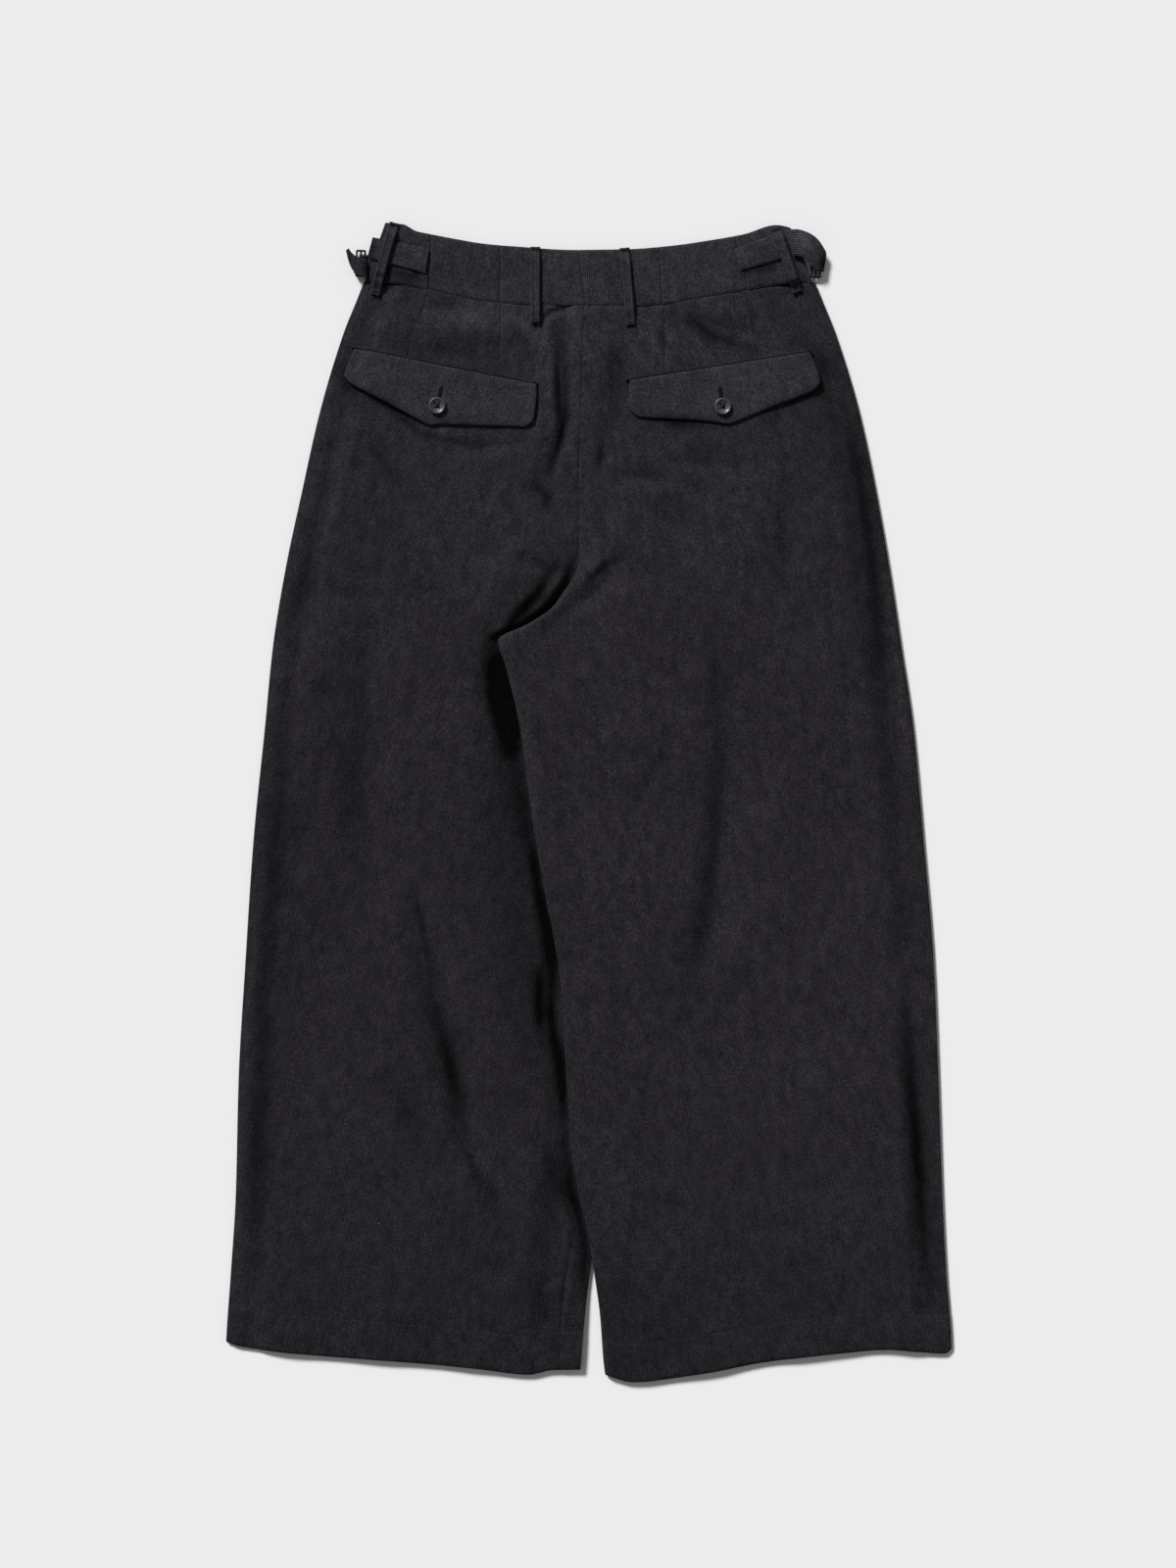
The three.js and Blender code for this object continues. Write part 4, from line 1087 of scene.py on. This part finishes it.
def band_height(x, y):
    inside = np.minimum(x - band_edge(BAND_SEAMS[0], y), band_edge(BAND_SEAMS[-1], y) - x)
    middle = rest_height(y) + 0.3 * folded(BROAD_FOLDS, x, WAIST_MIDDLE + 0 * y)
    return mix(BAND_EDGE_TOP, middle, ease(inside, 0, 24))


def band_shape(left, right, puckers):
    def shape(u, v):
        foot, head = mix(left[0], right[0], u), mix(left[1], right[1], u)
        x = mix(foot, head, v)
        y = mix(waist_seam(foot), waist_top(head), v)
        width, depth = right[0] - left[0], waist_top(head) - waist_seam(foot)
        z = band_height(x, y) + 0.5 * uneven(x * 1.6, y * 1.6) + 0.35 * np.sin(np.pi * v)
        z = z - rolled(u * width, 0.6, 1.2) - rolled((1 - u) * width, 0.6, 1.2)
        z = z - rolled(v * depth, 0.6, 1.4) - rolled((1 - v) * depth, 0.9, 1.3)
        # The side pieces are gathered near their foot, where the tabs pull.
        puff = np.exp(-(((v - 0.17) / 0.13) ** 2)) * np.sin(np.pi * np.clip(u, 0, 1)) ** 0.5
        crinkles = 0.55 * np.sin((x + 0.5 * y) / 2.3) + 0.3 * np.sin((x - 0.3 * y) / 4.1)
        z = z + puckers * puff * (1.1 + crinkles)
        return x, y, np.maximum(z, BAND_EDGE_TOP)

    return shape


def band_grain(lean):
    return lambda u, v, x, y: (x - lean * y, y)


band_rows = spaced(46, (0, 0.06, 3), (1, 0.05, 3))
band_columns = spaced(56, (0, 0.04, 3), (1, 0.04, 3))
bands = []
for (name, lean, puckers, _), left, right in zip(BAND_PIECES, BAND_SEAMS[:-1], BAND_SEAMS[1:]):
    band = cloth_piece(
        name, band_columns, band_rows, band_shape(left, right, puckers), band_grain(lean),
        trim_corduroy, BAND_CLOTH, BAND_PAINTED_SHADE_AND_TONE,
    )
    bands.append(band)
print("the back of the waistband is", len(bands), "pieces")

# %% [markdown]
# The front of the waistband
#
# The front half of the waistband lies flat on the floor, under the back one. It closes at the
# middle, where its two halves meet, and only a sliver of its edge can ever be seen.

# %% Two front halves
FRONT_BAND_HEIGHT = 47


def front_band_shape(left, right):
    def shape(u, v):
        foot, head = mix(left[0], right[0], u), mix(left[1], right[1], u)
        x = mix(foot, head, v) + mix(SEAM_GAP / 2, -SEAM_GAP / 2, u)
        y = mix(front_seam(foot) + SEAM_GAP / 2, front_seam(head) + FRONT_BAND_HEIGHT, v)
        return x, y, BAND_CLOTH + 0 * u

    return shape


front_band_rows, front_band_columns = spaced(17), spaced(61)
for name, left, right in (("left", BAND_SEAMS[0], (0, 0)), ("right", (0, 0), BAND_SEAMS[-1])):
    band = cloth_piece(
        "waistband_front_" + name, front_band_columns, front_band_rows,
        front_band_shape(left, right), straight_grain, trim_corduroy, BAND_CLOTH,
    )
    declare_cloth(band, front_band_columns, front_band_rows)

# %% [markdown]
# Pocket flaps and welts
#
# A flap is a pointed, faced piece sewn along its top edge, so it lies over the folds of the seat
# and stands off a little where the cloth dips below it. Its corners are crisp and its edges turn
# down over the lining. The welt is the narrow lip of the pocket that shows above it.

# %% Shapes of flaps and welts
END_REACH = 30
WELT_SHOWN, WELT_PAST_FLAP, WELT_TONE = 2.6, 1.5, -0.25


def flap_shape(flap, below):
    def shape(u, v):
        along = FLAP_LENGTH * (u if flap["inward"] > 0 else 1 - u)
        depth = flap["depths"](along)
        down = depth * (1 - v)
        bows = {}
        for end in ("outer_end", "inner_end"):
            start, bow, over = flap[end]
            bows[end] = start + bow * np.sin(np.pi * np.clip(down / over, 0, 1))
        from_inner = along - (FLAP_LENGTH - END_REACH)
        bowed = bows["outer_end"] * ease(END_REACH - along, 0, END_REACH)
        bowed = bowed + bows["inner_end"] * ease(from_inner, 0, END_REACH)
        x, y = flap_point(flap, along + bowed, down)
        z = highest(below, x, y, 5) + SEAM_GAP + FLAP_CLOTH
        edge = np.minimum(np.minimum(along, FLAP_LENGTH - along), np.minimum(down, depth - down))
        # The outer lower corner stands off, because only the button holds the flap down.
        outer_low = ease(60 - along, 0, 50) * ease(down, 8, 36)
        z = z + 1.5 * outer_low + 0.3 * ease(edge, 0, 5) - rolled(edge, 0.6, 0.9)
        return x, y, z

    return shape


def flap_grain(flap):
    def grain(u, v, x, y):
        along = FLAP_LENGTH * (u if flap["inward"] > 0 else 1 - u)
        down = flap["depths"](along) * (1 - v)
        return along + flap["lean"] * down, down

    return grain


def welt_shape(flap, below):
    def shape(u, v):
        share = u if flap["inward"] > 0 else 1 - u
        along = mix(-WELT_PAST_FLAP, FLAP_LENGTH + WELT_PAST_FLAP, share)
        x, y = flap_point(flap, along, -SEAM_GAP - WELT_SHOWN * v)
        z = highest(below, x, y, 5) + SEAM_GAP + WELT_CLOTH
        return x, y, z - rolled((1 - v) * WELT_SHOWN, 0.5, 0.8)

    return shape


point_depth = float(FLAPS["left"]["depths"](79))
print("the left flap is", point_depth, "mm deep at its point")

# %% [markdown]
# On the backs
#
# Each flap and its welt are laid on their own back. The welt belongs to the back's cut, so the
# back's size is stated here.

# %% Flaps and welts, laid on the backs
flap_columns = spaced(100, (0, 0.01, 3), (1, 0.01, 3), (0.51, 0.02, 1))
flap_rows = spaced(34, (0, 0.04, 3), (1, 0.03, 2))
welt_columns, welt_rows = spaced(60), spaced(5)
flaps = {}
for side, flap in FLAPS.items():
    below = surface_of(backs[side])
    columns = flap_columns if flap["inward"] > 0 else 1 - flap_columns[::-1]
    flaps[side] = cloth_piece(
        "flap_" + side, columns, flap_rows, flap_shape(flap, below), flap_grain(flap),
        trim_corduroy, FLAP_CLOTH,
    )
    declare_cloth(flaps[side], columns, flap_rows)
    welt = cloth_piece(
        "welt_" + side, welt_columns, welt_rows, welt_shape(flap, below),
        leg_grain(side == "left"), leg_corduroy, WELT_CLOTH, (), WELT_TONE,
    )
    declare_cloth(backs[side], columns_of[side], back_rows)

# %% [markdown]
# Tabs of the side adjusters
#
# Each tab is a short strap sewn on the waistband. It runs out to a buckle at the side. Its ridges
# run lengthwise, its long edges turn in, and its sewn end has a row of stitches.

# %% Tabs
TAB_LENGTH = 52
# Each end of a tab: its upper corner's x and y, then its lower corner's.
TABS = {
    "left": ((-191.6, 500.4, -196.4, 482.4), (-140.9, 489, -144.2, 467.2)),
    "right": ((129, 489.4, 135, 470.2), (172.3, 505.2, 180.2, 482.8)),
}


def tab_shape(start, finish, below):
    def shape(u, v):
        ax, ay, bx, by = (mix(a, b, u) for a, b in zip(start, finish))
        x, y = mix(bx, ax, v), mix(by, ay, v)
        width = np.hypot(ax - bx, ay - by)
        length = math.hypot(start[0] - finish[0], start[1] - finish[1])
        z = np.maximum(highest(below, x, y, 3), BAND_EDGE_TOP) + SEAM_GAP + STRAP_CLOTH
        edge = np.minimum(np.minimum(v, 1 - v) * width, np.minimum(u, 1 - u) * length)
        return x, y, z + 0.5 * np.sin(np.pi * v) - rolled(edge, 0.6, 0.9)

    return shape


tab_columns = spaced(50, (0, 0.04, 2), (1, 0.04, 2))
tab_rows = spaced(22, (0, 0.06, 2), (1, 0.06, 2))
tabs = []
for side, (start, finish) in TABS.items():
    tab = cloth_piece(
        "adjuster_tab_" + side, tab_columns, tab_rows, tab_shape(start, finish, surface_of(*bands)),
        strap_grain(TAB_LENGTH), trim_corduroy, STRAP_CLOTH, TAB_PAINTED_LIGHT_AND_TONE,
    )
    declare_cloth(tab, tab_columns, tab_rows)
    tabs.append(tab)

# %% [markdown]
# Belt loops
#
# A belt loop is a strip folded in three, so its two edges stand higher than its middle. It is sewn
# down at the foot and at the head, and stands clear of the waistband between, by enough for the
# thickness of the folded cloth.

# %% Belt loops
LOOP_WIDTH, LOOP_LENGTH = 9, 65
LOOP_LIFT = 1.5
# Each loop: the middle of its foot and of its head.
LOOPS = {
    "belt_loop_side_left": ((-189.4, 449), (-171.9, 512.6)),
    "belt_loop_centre_left": ((-47.2, 424.1), (-47.2, 491)),
    "belt_loop_centre_right": ((37.6, 422), (31.9, 490.2)),
    "belt_loop_side_right": ((185.4, 451.5), (165.4, 508)),
}


def loop_shape(foot, head, below):
    foot, head = np.array(foot), np.array(head)
    run = head - foot
    length = math.hypot(*run)
    side = np.array([run[1], -run[0]]) / length

    def seat(v):
        places = foot[:, None] + run[:, None] * np.clip(v, 0, 1)
        return highest(below, places[0], places[1], LOOP_WIDTH / 2)

    def shape(u, v):
        rows = np.unique(v)
        seats = np.interp(rows, np.linspace(0, 1, 41), seat(np.linspace(0, 1, 41)))
        near = [np.interp(np.clip(v + step, 0, 1), rows, seats) for step in (-0.1, 0, 0.1)]
        crest = np.max(near, axis=0)
        ends = np.where(v < 0.5, seats[0], seats[-1])
        off = ease(np.minimum(v, 1 - v), 0.06, 0.2)
        x = foot[0] + run[0] * v + side[0] * (u - 0.5) * LOOP_WIDTH
        y = foot[1] + run[1] * v + side[1] * (u - 0.5) * LOOP_WIDTH
        across = np.minimum(u, 1 - u) * LOOP_WIDTH
        # Clear of the band between its ends, with two thick folded edges and thick sewn ends.
        z = mix(ends, crest + LOOP_LIFT, off) + SEAM_GAP + LOOP_CLOTH
        z = z + 0.45 * np.exp(-(((across - 1.5) / 0.8) ** 2)) - rolled(across, 0.6, 0.6)
        z = z + 0.4 * np.exp(-((np.minimum(v, 1 - v) * length / 2.4) ** 2))
        z = z + 0.7 * np.exp(-(((1 - v) * length - 9) / 3.2) ** 2) * (1 - u)
        return x, y, z

    return shape


def loop_grain(u, v, x, y):
    return (u - 0.5) * LOOP_WIDTH, v * LOOP_LENGTH


loop_columns = spaced(21)
loop_rows = spaced(70, (0, 0.03, 1), (1, 0.03, 1))
under_loops = surface_of(backs["left"], backs["right"], *bands, *tabs)
loops = {}
for name, (foot, head) in LOOPS.items():
    loops[name] = cloth_piece(
        name, loop_columns, loop_rows, loop_shape(foot, head, under_loops), loop_grain,
        trim_corduroy, LOOP_CLOTH,
    )
for (name, _, _, loop), band in zip(BAND_PIECES, bands):
    below = "waistband_front_left" if "left" in name else "waistband_front_right"
    declare_cloth(band, band_columns, band_rows)

# %% [markdown]
# The curled ends of the straps
#
# At each side the front's strap comes round the edge, through the buckle, and its free end curls
# back over it. The curl is a line of cross rows, each with its two ends and its height, and the
# grid runs smoothly through them. The left strap ends in a point.

# %% Straps
CURL_LENGTH = 50
# Each cross row: its upper end's x and y, its lower end's, and its height.
CURL_LEFT = [
    (-188.7, 484, -195.4, 467, 0.1), (-200, 484, -201, 466, 0.1), (-206.5, 481.5, -205, 467.5, 0.2),
    (-209.2, 480, -208.6, 469, 2.4), (-207.4, 480, -206.6, 468, 4.9), (-202, 480.5, -200, 465, 5.3),
    (-197.5, 480, -197.2, 464.2, 6), (-200.5, 481, -203.4, 465.2, 7.3),
    (-206.8, 483, -209.6, 471.6, 7.6), (-210.6, 486, -212.4, 479.5, 7.7),
    (-213.4, 489, -213.8, 488.4, 7.8),
]
CURL_RIGHT = [
    (173.9, 506.2, 181.8, 483.2, 7.2), (184, 506.6, 187.5, 482.5, 8.8),
    (194, 503.8, 192.8, 480, 9.5), (202.3, 498.6, 197, 475.5, 9.2), (208, 491.5, 202, 469.8, 8),
    (211, 486.5, 208.3, 469.5, 6), (211.5, 484, 209.2, 470.5, 3.6), (210.3, 484, 208.4, 471, 1.2),
    (206, 485, 205.5, 471.5, 0.15), (200.5, 486.5, 199.5, 473, 0.1),
]


def curl_shape(rows):
    lines = [line_through(list(enumerate(column))) for column in zip(*rows)]

    def shape(u, v):
        top_x, top_y, bottom_x, bottom_y, z = (line(u * (len(rows) - 1)) for line in lines)
        z = z - rolled(np.minimum(v, 1 - v) * STRAP_WIDTH, 0.12, 0.8)
        return mix(bottom_x, top_x, v), mix(bottom_y, top_y, v), z

    return shape


def curled_strap(side, rows):
    columns, across = spaced(61), spaced(15)
    strap = cloth_piece(
        "adjuster_strap_" + side, columns, across, curl_shape(rows), strap_grain(CURL_LENGTH),
        trim_corduroy, STRAP_CLOTH, CURL_PAINTED_LIGHT,
    )
    declare_cloth(strap, columns, across)


curled_strap("left", CURL_LEFT)
curled_strap("right", CURL_RIGHT)

# %% [markdown]
# Buttons
#
# A trouser button is turned: a profile spun round its axis gives the rim and the dish. Four holes
# are bored through it with a drill, which a Boolean modifier takes away from the button.

# %% Turning and boring
# From the middle of the base, round the rim, to the middle of the dish: radius and height.
BUTTON_PROFILE = [
    (0, 0), (5.9, 0), (7.2, 0.5), (7.5, 1.2), (7.5, 1.9), (7.2, 2.4), (6.6, 2.6), (6.0, 2.5),
    (5.5, 1.9), (0, 1.75),
]
HOLE_RADIUS, HOLE_FROM_MIDDLE = 0.75, 1.5


def spun(profile, steps):
    shell = bmesh.new()
    marks = [shell.verts.new((radius * MM, 0, height * MM)) for radius, height in profile]
    edges = [shell.edges.new(pair) for pair in zip(marks[:-1], marks[1:])]
    bmesh.ops.spin(
        shell, geom=marks + edges, cent=(0, 0, 0), axis=(0, 0, 1), angle=2 * math.pi,
        steps=steps, use_merge=True, use_duplicate=False,
    )
    bmesh.ops.remove_doubles(shell, verts=shell.verts, dist=0.01 * MM)
    bmesh.ops.recalc_face_normals(shell, faces=shell.faces)
    return shell


def finished(shell, name, material, smooth=True):
    """A shell made into a piece that rides with the trousers."""
    mesh = bpy.data.meshes.new(name)
    shell.to_mesh(mesh)
    shell.free()
    mesh.polygons.foreach_set("use_smooth", np.full(len(mesh.polygons), smooth))
    mesh.materials.append(material)
    piece = bpy.data.objects.new(name, mesh)
    bpy.context.scene.collection.objects.link(piece)
    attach(piece, "root")
    return piece


def bored(piece, centre):
    """The piece with four holes bored through it."""
    drill = bmesh.new()
    for sx, sy in ((-1, -1), (1, -1), (1, 1), (-1, 1)):
        offset = Vector((sx * HOLE_FROM_MIDDLE, sy * HOLE_FROM_MIDDLE, 1))
        bmesh.ops.create_cone(
            drill, cap_ends=True, segments=16, radius1=HOLE_RADIUS * MM, radius2=HOLE_RADIUS * MM,
            depth=10 * MM, matrix=Matrix.Translation(centre + offset * MM),
        )
    mesh = bpy.data.meshes.new("drill")
    drill.to_mesh(mesh)
    drill.free()
    tool = bpy.data.objects.new("drill", mesh)
    bpy.context.scene.collection.objects.link(tool)
    cut = piece.modifiers.new("holes", "BOOLEAN")
    cut.object = tool
    cut.operation = "DIFFERENCE"
    cut.solver = "EXACT"
    depsgraph = bpy.context.evaluated_depsgraph_get()
    made = bpy.data.meshes.new_from_object(piece.evaluated_get(depsgraph))
    piece.modifiers.clear()
    piece.data = made
    bpy.data.objects.remove(tool)
    print(piece.name, len(made.polygons), "faces")


print("a button is", 2 * max(radius for radius, _ in BUTTON_PROFILE), "mm across")

# %% [markdown]
# A button on each flap
#
# Each button stands on its flap, over the point, where the drawing has its middle. It is turned
# first and bored last, and then it takes the place of the plain one.

# %% Buttons with four holes
for side, flap in FLAPS.items():
    x, y = flap_point(flap, BUTTON_ALONG, BUTTON_DEPTH)
    seat = highest(surface_of(flaps[side]), np.array([x]), np.array([y]), 5)[0]
    centre = Vector((x, y, seat + SEAM_GAP)) * MM + PLACE
    shell = spun(BUTTON_PROFILE, 48)
    bmesh.ops.translate(shell, verts=shell.verts, vec=centre)
    button = finished(shell, "button_" + side + "_turned", button_resin)
    bored(button, centre)
    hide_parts("button_" + side)

# %% [markdown]
# Stitches
#
# A stitch is a short thread that dips into the cloth at both ends, so each one is a small rounded
# grain. A row of them follows a line on the cloth and sits on whatever is below it.

# %% Rows of stitches
def stitch(shell, centre, heading, length, width):
    """One stitch at a place in mm."""
    place = Matrix.Translation(Vector(centre) * MM + PLACE) @ Matrix.Rotation(heading, 4, "Z")
    size = Matrix.Diagonal((length / 2 * MM, width / 2 * MM, width / 2 * MM, 1))
    bmesh.ops.create_icosphere(shell, subdivisions=1, radius=1, matrix=place @ size)


def along_line(line, pitch):
    """Places every so many mm along a line, with the heading there."""
    line = np.array(line, float)
    runs = np.diff(line, axis=0)
    lengths = np.hypot(runs[:, 0], runs[:, 1])
    total = np.concatenate([[0], np.cumsum(lengths)])
    at = np.arange(pitch / 2, total[-1], pitch)
    i = np.clip(np.searchsorted(total, at) - 1, 0, len(runs) - 1)
    places = line[i] + runs[i] * ((at - total[i]) / lengths[i])[:, None]
    return places, np.arctan2(runs[i, 1], runs[i, 0])


def stitch_row(shell, line, below, pitch, length, width, turned=0.0, sunk=0.12):
    """Stitches along a line on the pieces below, each turned from the line and sunk a little."""
    places, headings = along_line(line, pitch)
    heights = highest(below, places[:, 0], places[:, 1], 0)
    for (x, y), heading, z in zip(places, headings, heights):
        if z > 0:
            stitch(shell, (x, y, z + width / 2 - sunk), heading + turned, length, width)


short_row = along_line([(0, 0), (50, 0)], 5.2)[0]
print("a row of hem stitches 50 mm long has", len(short_row))

# %% [markdown]
# Seams that show as dark lines
#
# The hem is held by small stitches, far apart, that catch only a thread of the outside. A dart is
# a fold sewn shut from the inside, and the inside leg's seam and the little notch in it are sewn
# the same way. From outside each is a thin dark line, the shade of its groove, so it is drawn as
# close, sunk stitches of dark thread that paint that shade.

# %% Hem stitches, darts and the inside leg's seam
hem_stitches = bmesh.new()
for side, ends in (("left", (-312, -22)), ("right", (16, 314))):
    line = [(x, float(hem_edge(x)) + HEM_DEPTH) for x in np.linspace(ends[0], ends[1], 40)]
    stitch_row(hem_stitches, line, surface_of(backs[side]), 5.2, 1.6, 0.45)
finished(hem_stitches, "hem_stitches", dark_thread)

DARTS = [
    ("left", [(-143, 451), (-150, 431), (-157, 416), (-162, 394)]),
    ("left", [(-79, 440), (-79, 422), (-80, 378)]),
    ("right", [(67, 440), (67, 380)]),
    ("right", [(138.6, 451), (145, 420), (150, 392)]),
    ("left", [(-11, -375), (-16.2, -396), (-20.6, -422), (-25, -460), (-26.5, -505)]),
    ("left", [(-25, -466.5), (-7, -465)]),
]
dart_seams_and_shade = bmesh.new()
for side, line in DARTS:
    stitch_row(dart_seams_and_shade, line, surface_of(backs[side]), 1.1, 1.7, 0.6, sunk=0.2)
finished(dart_seams_and_shade, "dart_seams_and_shade", dark_thread)
print("seams", len(DARTS))

# %% [markdown]
# Bar tacks and the tabs' stitches
#
# A bar tack is a dense row of stitches lying side by side, across the loop at its foot and at its
# head. A tab has one row of stitches across the end that is sewn down.

# %% Bar tacks and tab stitches
TACK_FROM_END, HALF_TACK = 2.2, 3.6
SEWN_SHARE = 4 / 50
bar_tacks = bmesh.new()
for name, (foot, head) in LOOPS.items():
    foot, head = np.array(foot), np.array(head)
    run = (head - foot) / math.hypot(*(head - foot))
    side = np.array([run[1], -run[0]])
    for middle in (foot + run * TACK_FROM_END, head - run * TACK_FROM_END):
        line = [middle - side * HALF_TACK, middle + side * HALF_TACK]
        stitch_row(bar_tacks, line, surface_of(loops[name]), 0.75, 2.0, 0.5, turned=math.pi / 2)
finished(bar_tacks, "loop_bar_tacks", dark_thread)

tab_stitches = bmesh.new()
for tab, (side, (start, finish)) in zip(tabs, TABS.items()):
    sewn, other = np.array((finish, start) if side == "left" else (start, finish))
    row = mix(sewn, other, SEWN_SHARE)
    stitch_row(tab_stitches, [row[2:], row[:2]], surface_of(tab), 2.4, 1.9, 0.5)
finished(tab_stitches, "tab_stitches", dark_thread)
print("bar tacks", 2 * len(LOOPS))

# %% [markdown]
# Button threads and buttonholes
#
# The thread crosses from hole to hole in the button's dish. The end of the buttonhole shows above
# each button: a narrow bar of dense stitches that lie across the slit, closed by one more row.

# %% Threads and buttonholes
DISH_HEIGHT, THREAD_RISE = 1.8, 0.5
HOLE_START, HOLE_END, HOLE_CLOSED = 8.5, 17, 17.6
threads = bmesh.new()
holes = bmesh.new()
for side, flap in FLAPS.items():
    surface = surface_of(flaps[side])
    x, y = flap_point(flap, BUTTON_ALONG, BUTTON_DEPTH)
    dish = highest(surface, np.array([x]), np.array([y]), 5)[0] + SEAM_GAP + DISH_HEIGHT
    for heading in (math.pi / 4, -math.pi / 4):
        stitch(threads, (x, y, dish + THREAD_RISE), heading, 5.6, 1.5)
    for offset in (-1.1, 0, 1.1):
        along = BUTTON_ALONG + offset
        line = [flap_point(flap, along, BUTTON_DEPTH - up) for up in (HOLE_START, HOLE_END)]
        stitch_row(holes, line, surface, 0.5, 1.7, 0.6, turned=math.pi / 2)
    line = [flap_point(flap, BUTTON_ALONG, BUTTON_DEPTH - up) for up in (HOLE_END, HOLE_CLOSED)]
    stitch_row(holes, line, surface, 0.4, 2.6, 0.5, turned=math.pi / 2)
finished(threads, "button_threads", dark_thread)
finished(holes, "buttonhole_stitches", dark_thread)
print("buttonholes", len(FLAPS))

# %% [markdown]
# The buckles
#
# The CAD model's buckles are already the right shape, so they only get a finish.

# %% Finish of the buckles
for side in ("left", "right"):
    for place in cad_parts["adjuster_buckle_" + side].material_slots:
        place.material = buckle_metal
    print("adjuster_buckle_" + side, "in", buckle_metal.name)

# %% [markdown]
# The floor
#
# The photograph is a cut-out on pale grey. A wide, plain, matt floor gives the same, half a
# millimetre under the cloth so that the two never meet.

# %% Floor
FLOOR_BELOW = 0.5
floor_shell = bmesh.new()
bmesh.ops.create_grid(floor_shell, x_segments=1, y_segments=1, size=6)
floor_mesh = bpy.data.meshes.new("floor")
floor_shell.to_mesh(floor_mesh)
floor_shell.free()
floor_paint = plain_finish("pale floor", (0.866, 0.865, 0.867, 1), 0.9, specular=0.0)
floor_mesh.materials.append(floor_paint)
floor = bpy.data.objects.new("floor", floor_mesh)
floor.data.transform(Matrix.Translation((0, 0, -FLOOR_BELOW * MM)))
bpy.context.scene.collection.objects.link(floor)
floor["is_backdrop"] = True
print("floor", FLOOR_BELOW, "mm below the cloth")

# %% [markdown]
# The light
#
# The light is soft and comes from beyond the waist, a little from the left: that is what shades
# the folds. A wide sun gives the same light all over, and a pale sky fills the shadows.

# %% Light
lamp = bpy.data.lights.new("soft sun", "SUN")
lamp.energy = 4.7
lamp.angle = math.radians(14)
sun = bpy.data.objects.new("soft sun", lamp)
towards = Vector((-0.65, 1.0, 0.72)).normalized()
sun.rotation_mode = "QUATERNION"
sun.rotation_quaternion = towards.to_track_quat("Z", "Y")
bpy.context.scene.collection.objects.link(sun)
world = bpy.data.worlds.new("pale sky")
world.use_nodes = True
world.node_tree.nodes["Background"].inputs["Color"].default_value = (1, 1, 1, 1)
world.node_tree.nodes["Background"].inputs["Strength"].default_value = 0.2
bpy.context.scene.world = world
bpy.context.scene.view_settings.view_transform = "Standard"
print("sun", round(math.degrees(math.asin(towards.z))), "degrees above the floor")

# %% [markdown]
# The camera
#
# The photograph was taken from straight above, with the garment nearly in its middle. The
# camera's height makes the garment as big in the picture as it is in the photograph.

# %% Camera
CAMERA_X, CAMERA_Y, CAMERA_HEIGHT = -0.4, 14.8, 1.939
camera_data = bpy.data.cameras.new("camera")
camera_data.lens = 50
camera_data.sensor_width = 36
camera_data.clip_end = 20
camera = bpy.data.objects.new("camera", camera_data)
camera.location = (CAMERA_X * MM + PLACE.x, CAMERA_Y * MM + PLACE.y, CAMERA_HEIGHT)
bpy.context.scene.collection.objects.link(camera)
bpy.context.scene.camera = camera
print("camera", round(camera.location.z, 2), "m up")

# %% [markdown]
# Sizes and the end
#
# The size of the finished garment's box is printed.

# %% Sizes and the end
low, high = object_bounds()
print("visual", [round((b - a) * 1000, 1) for a, b in zip(low, high)], "mm")
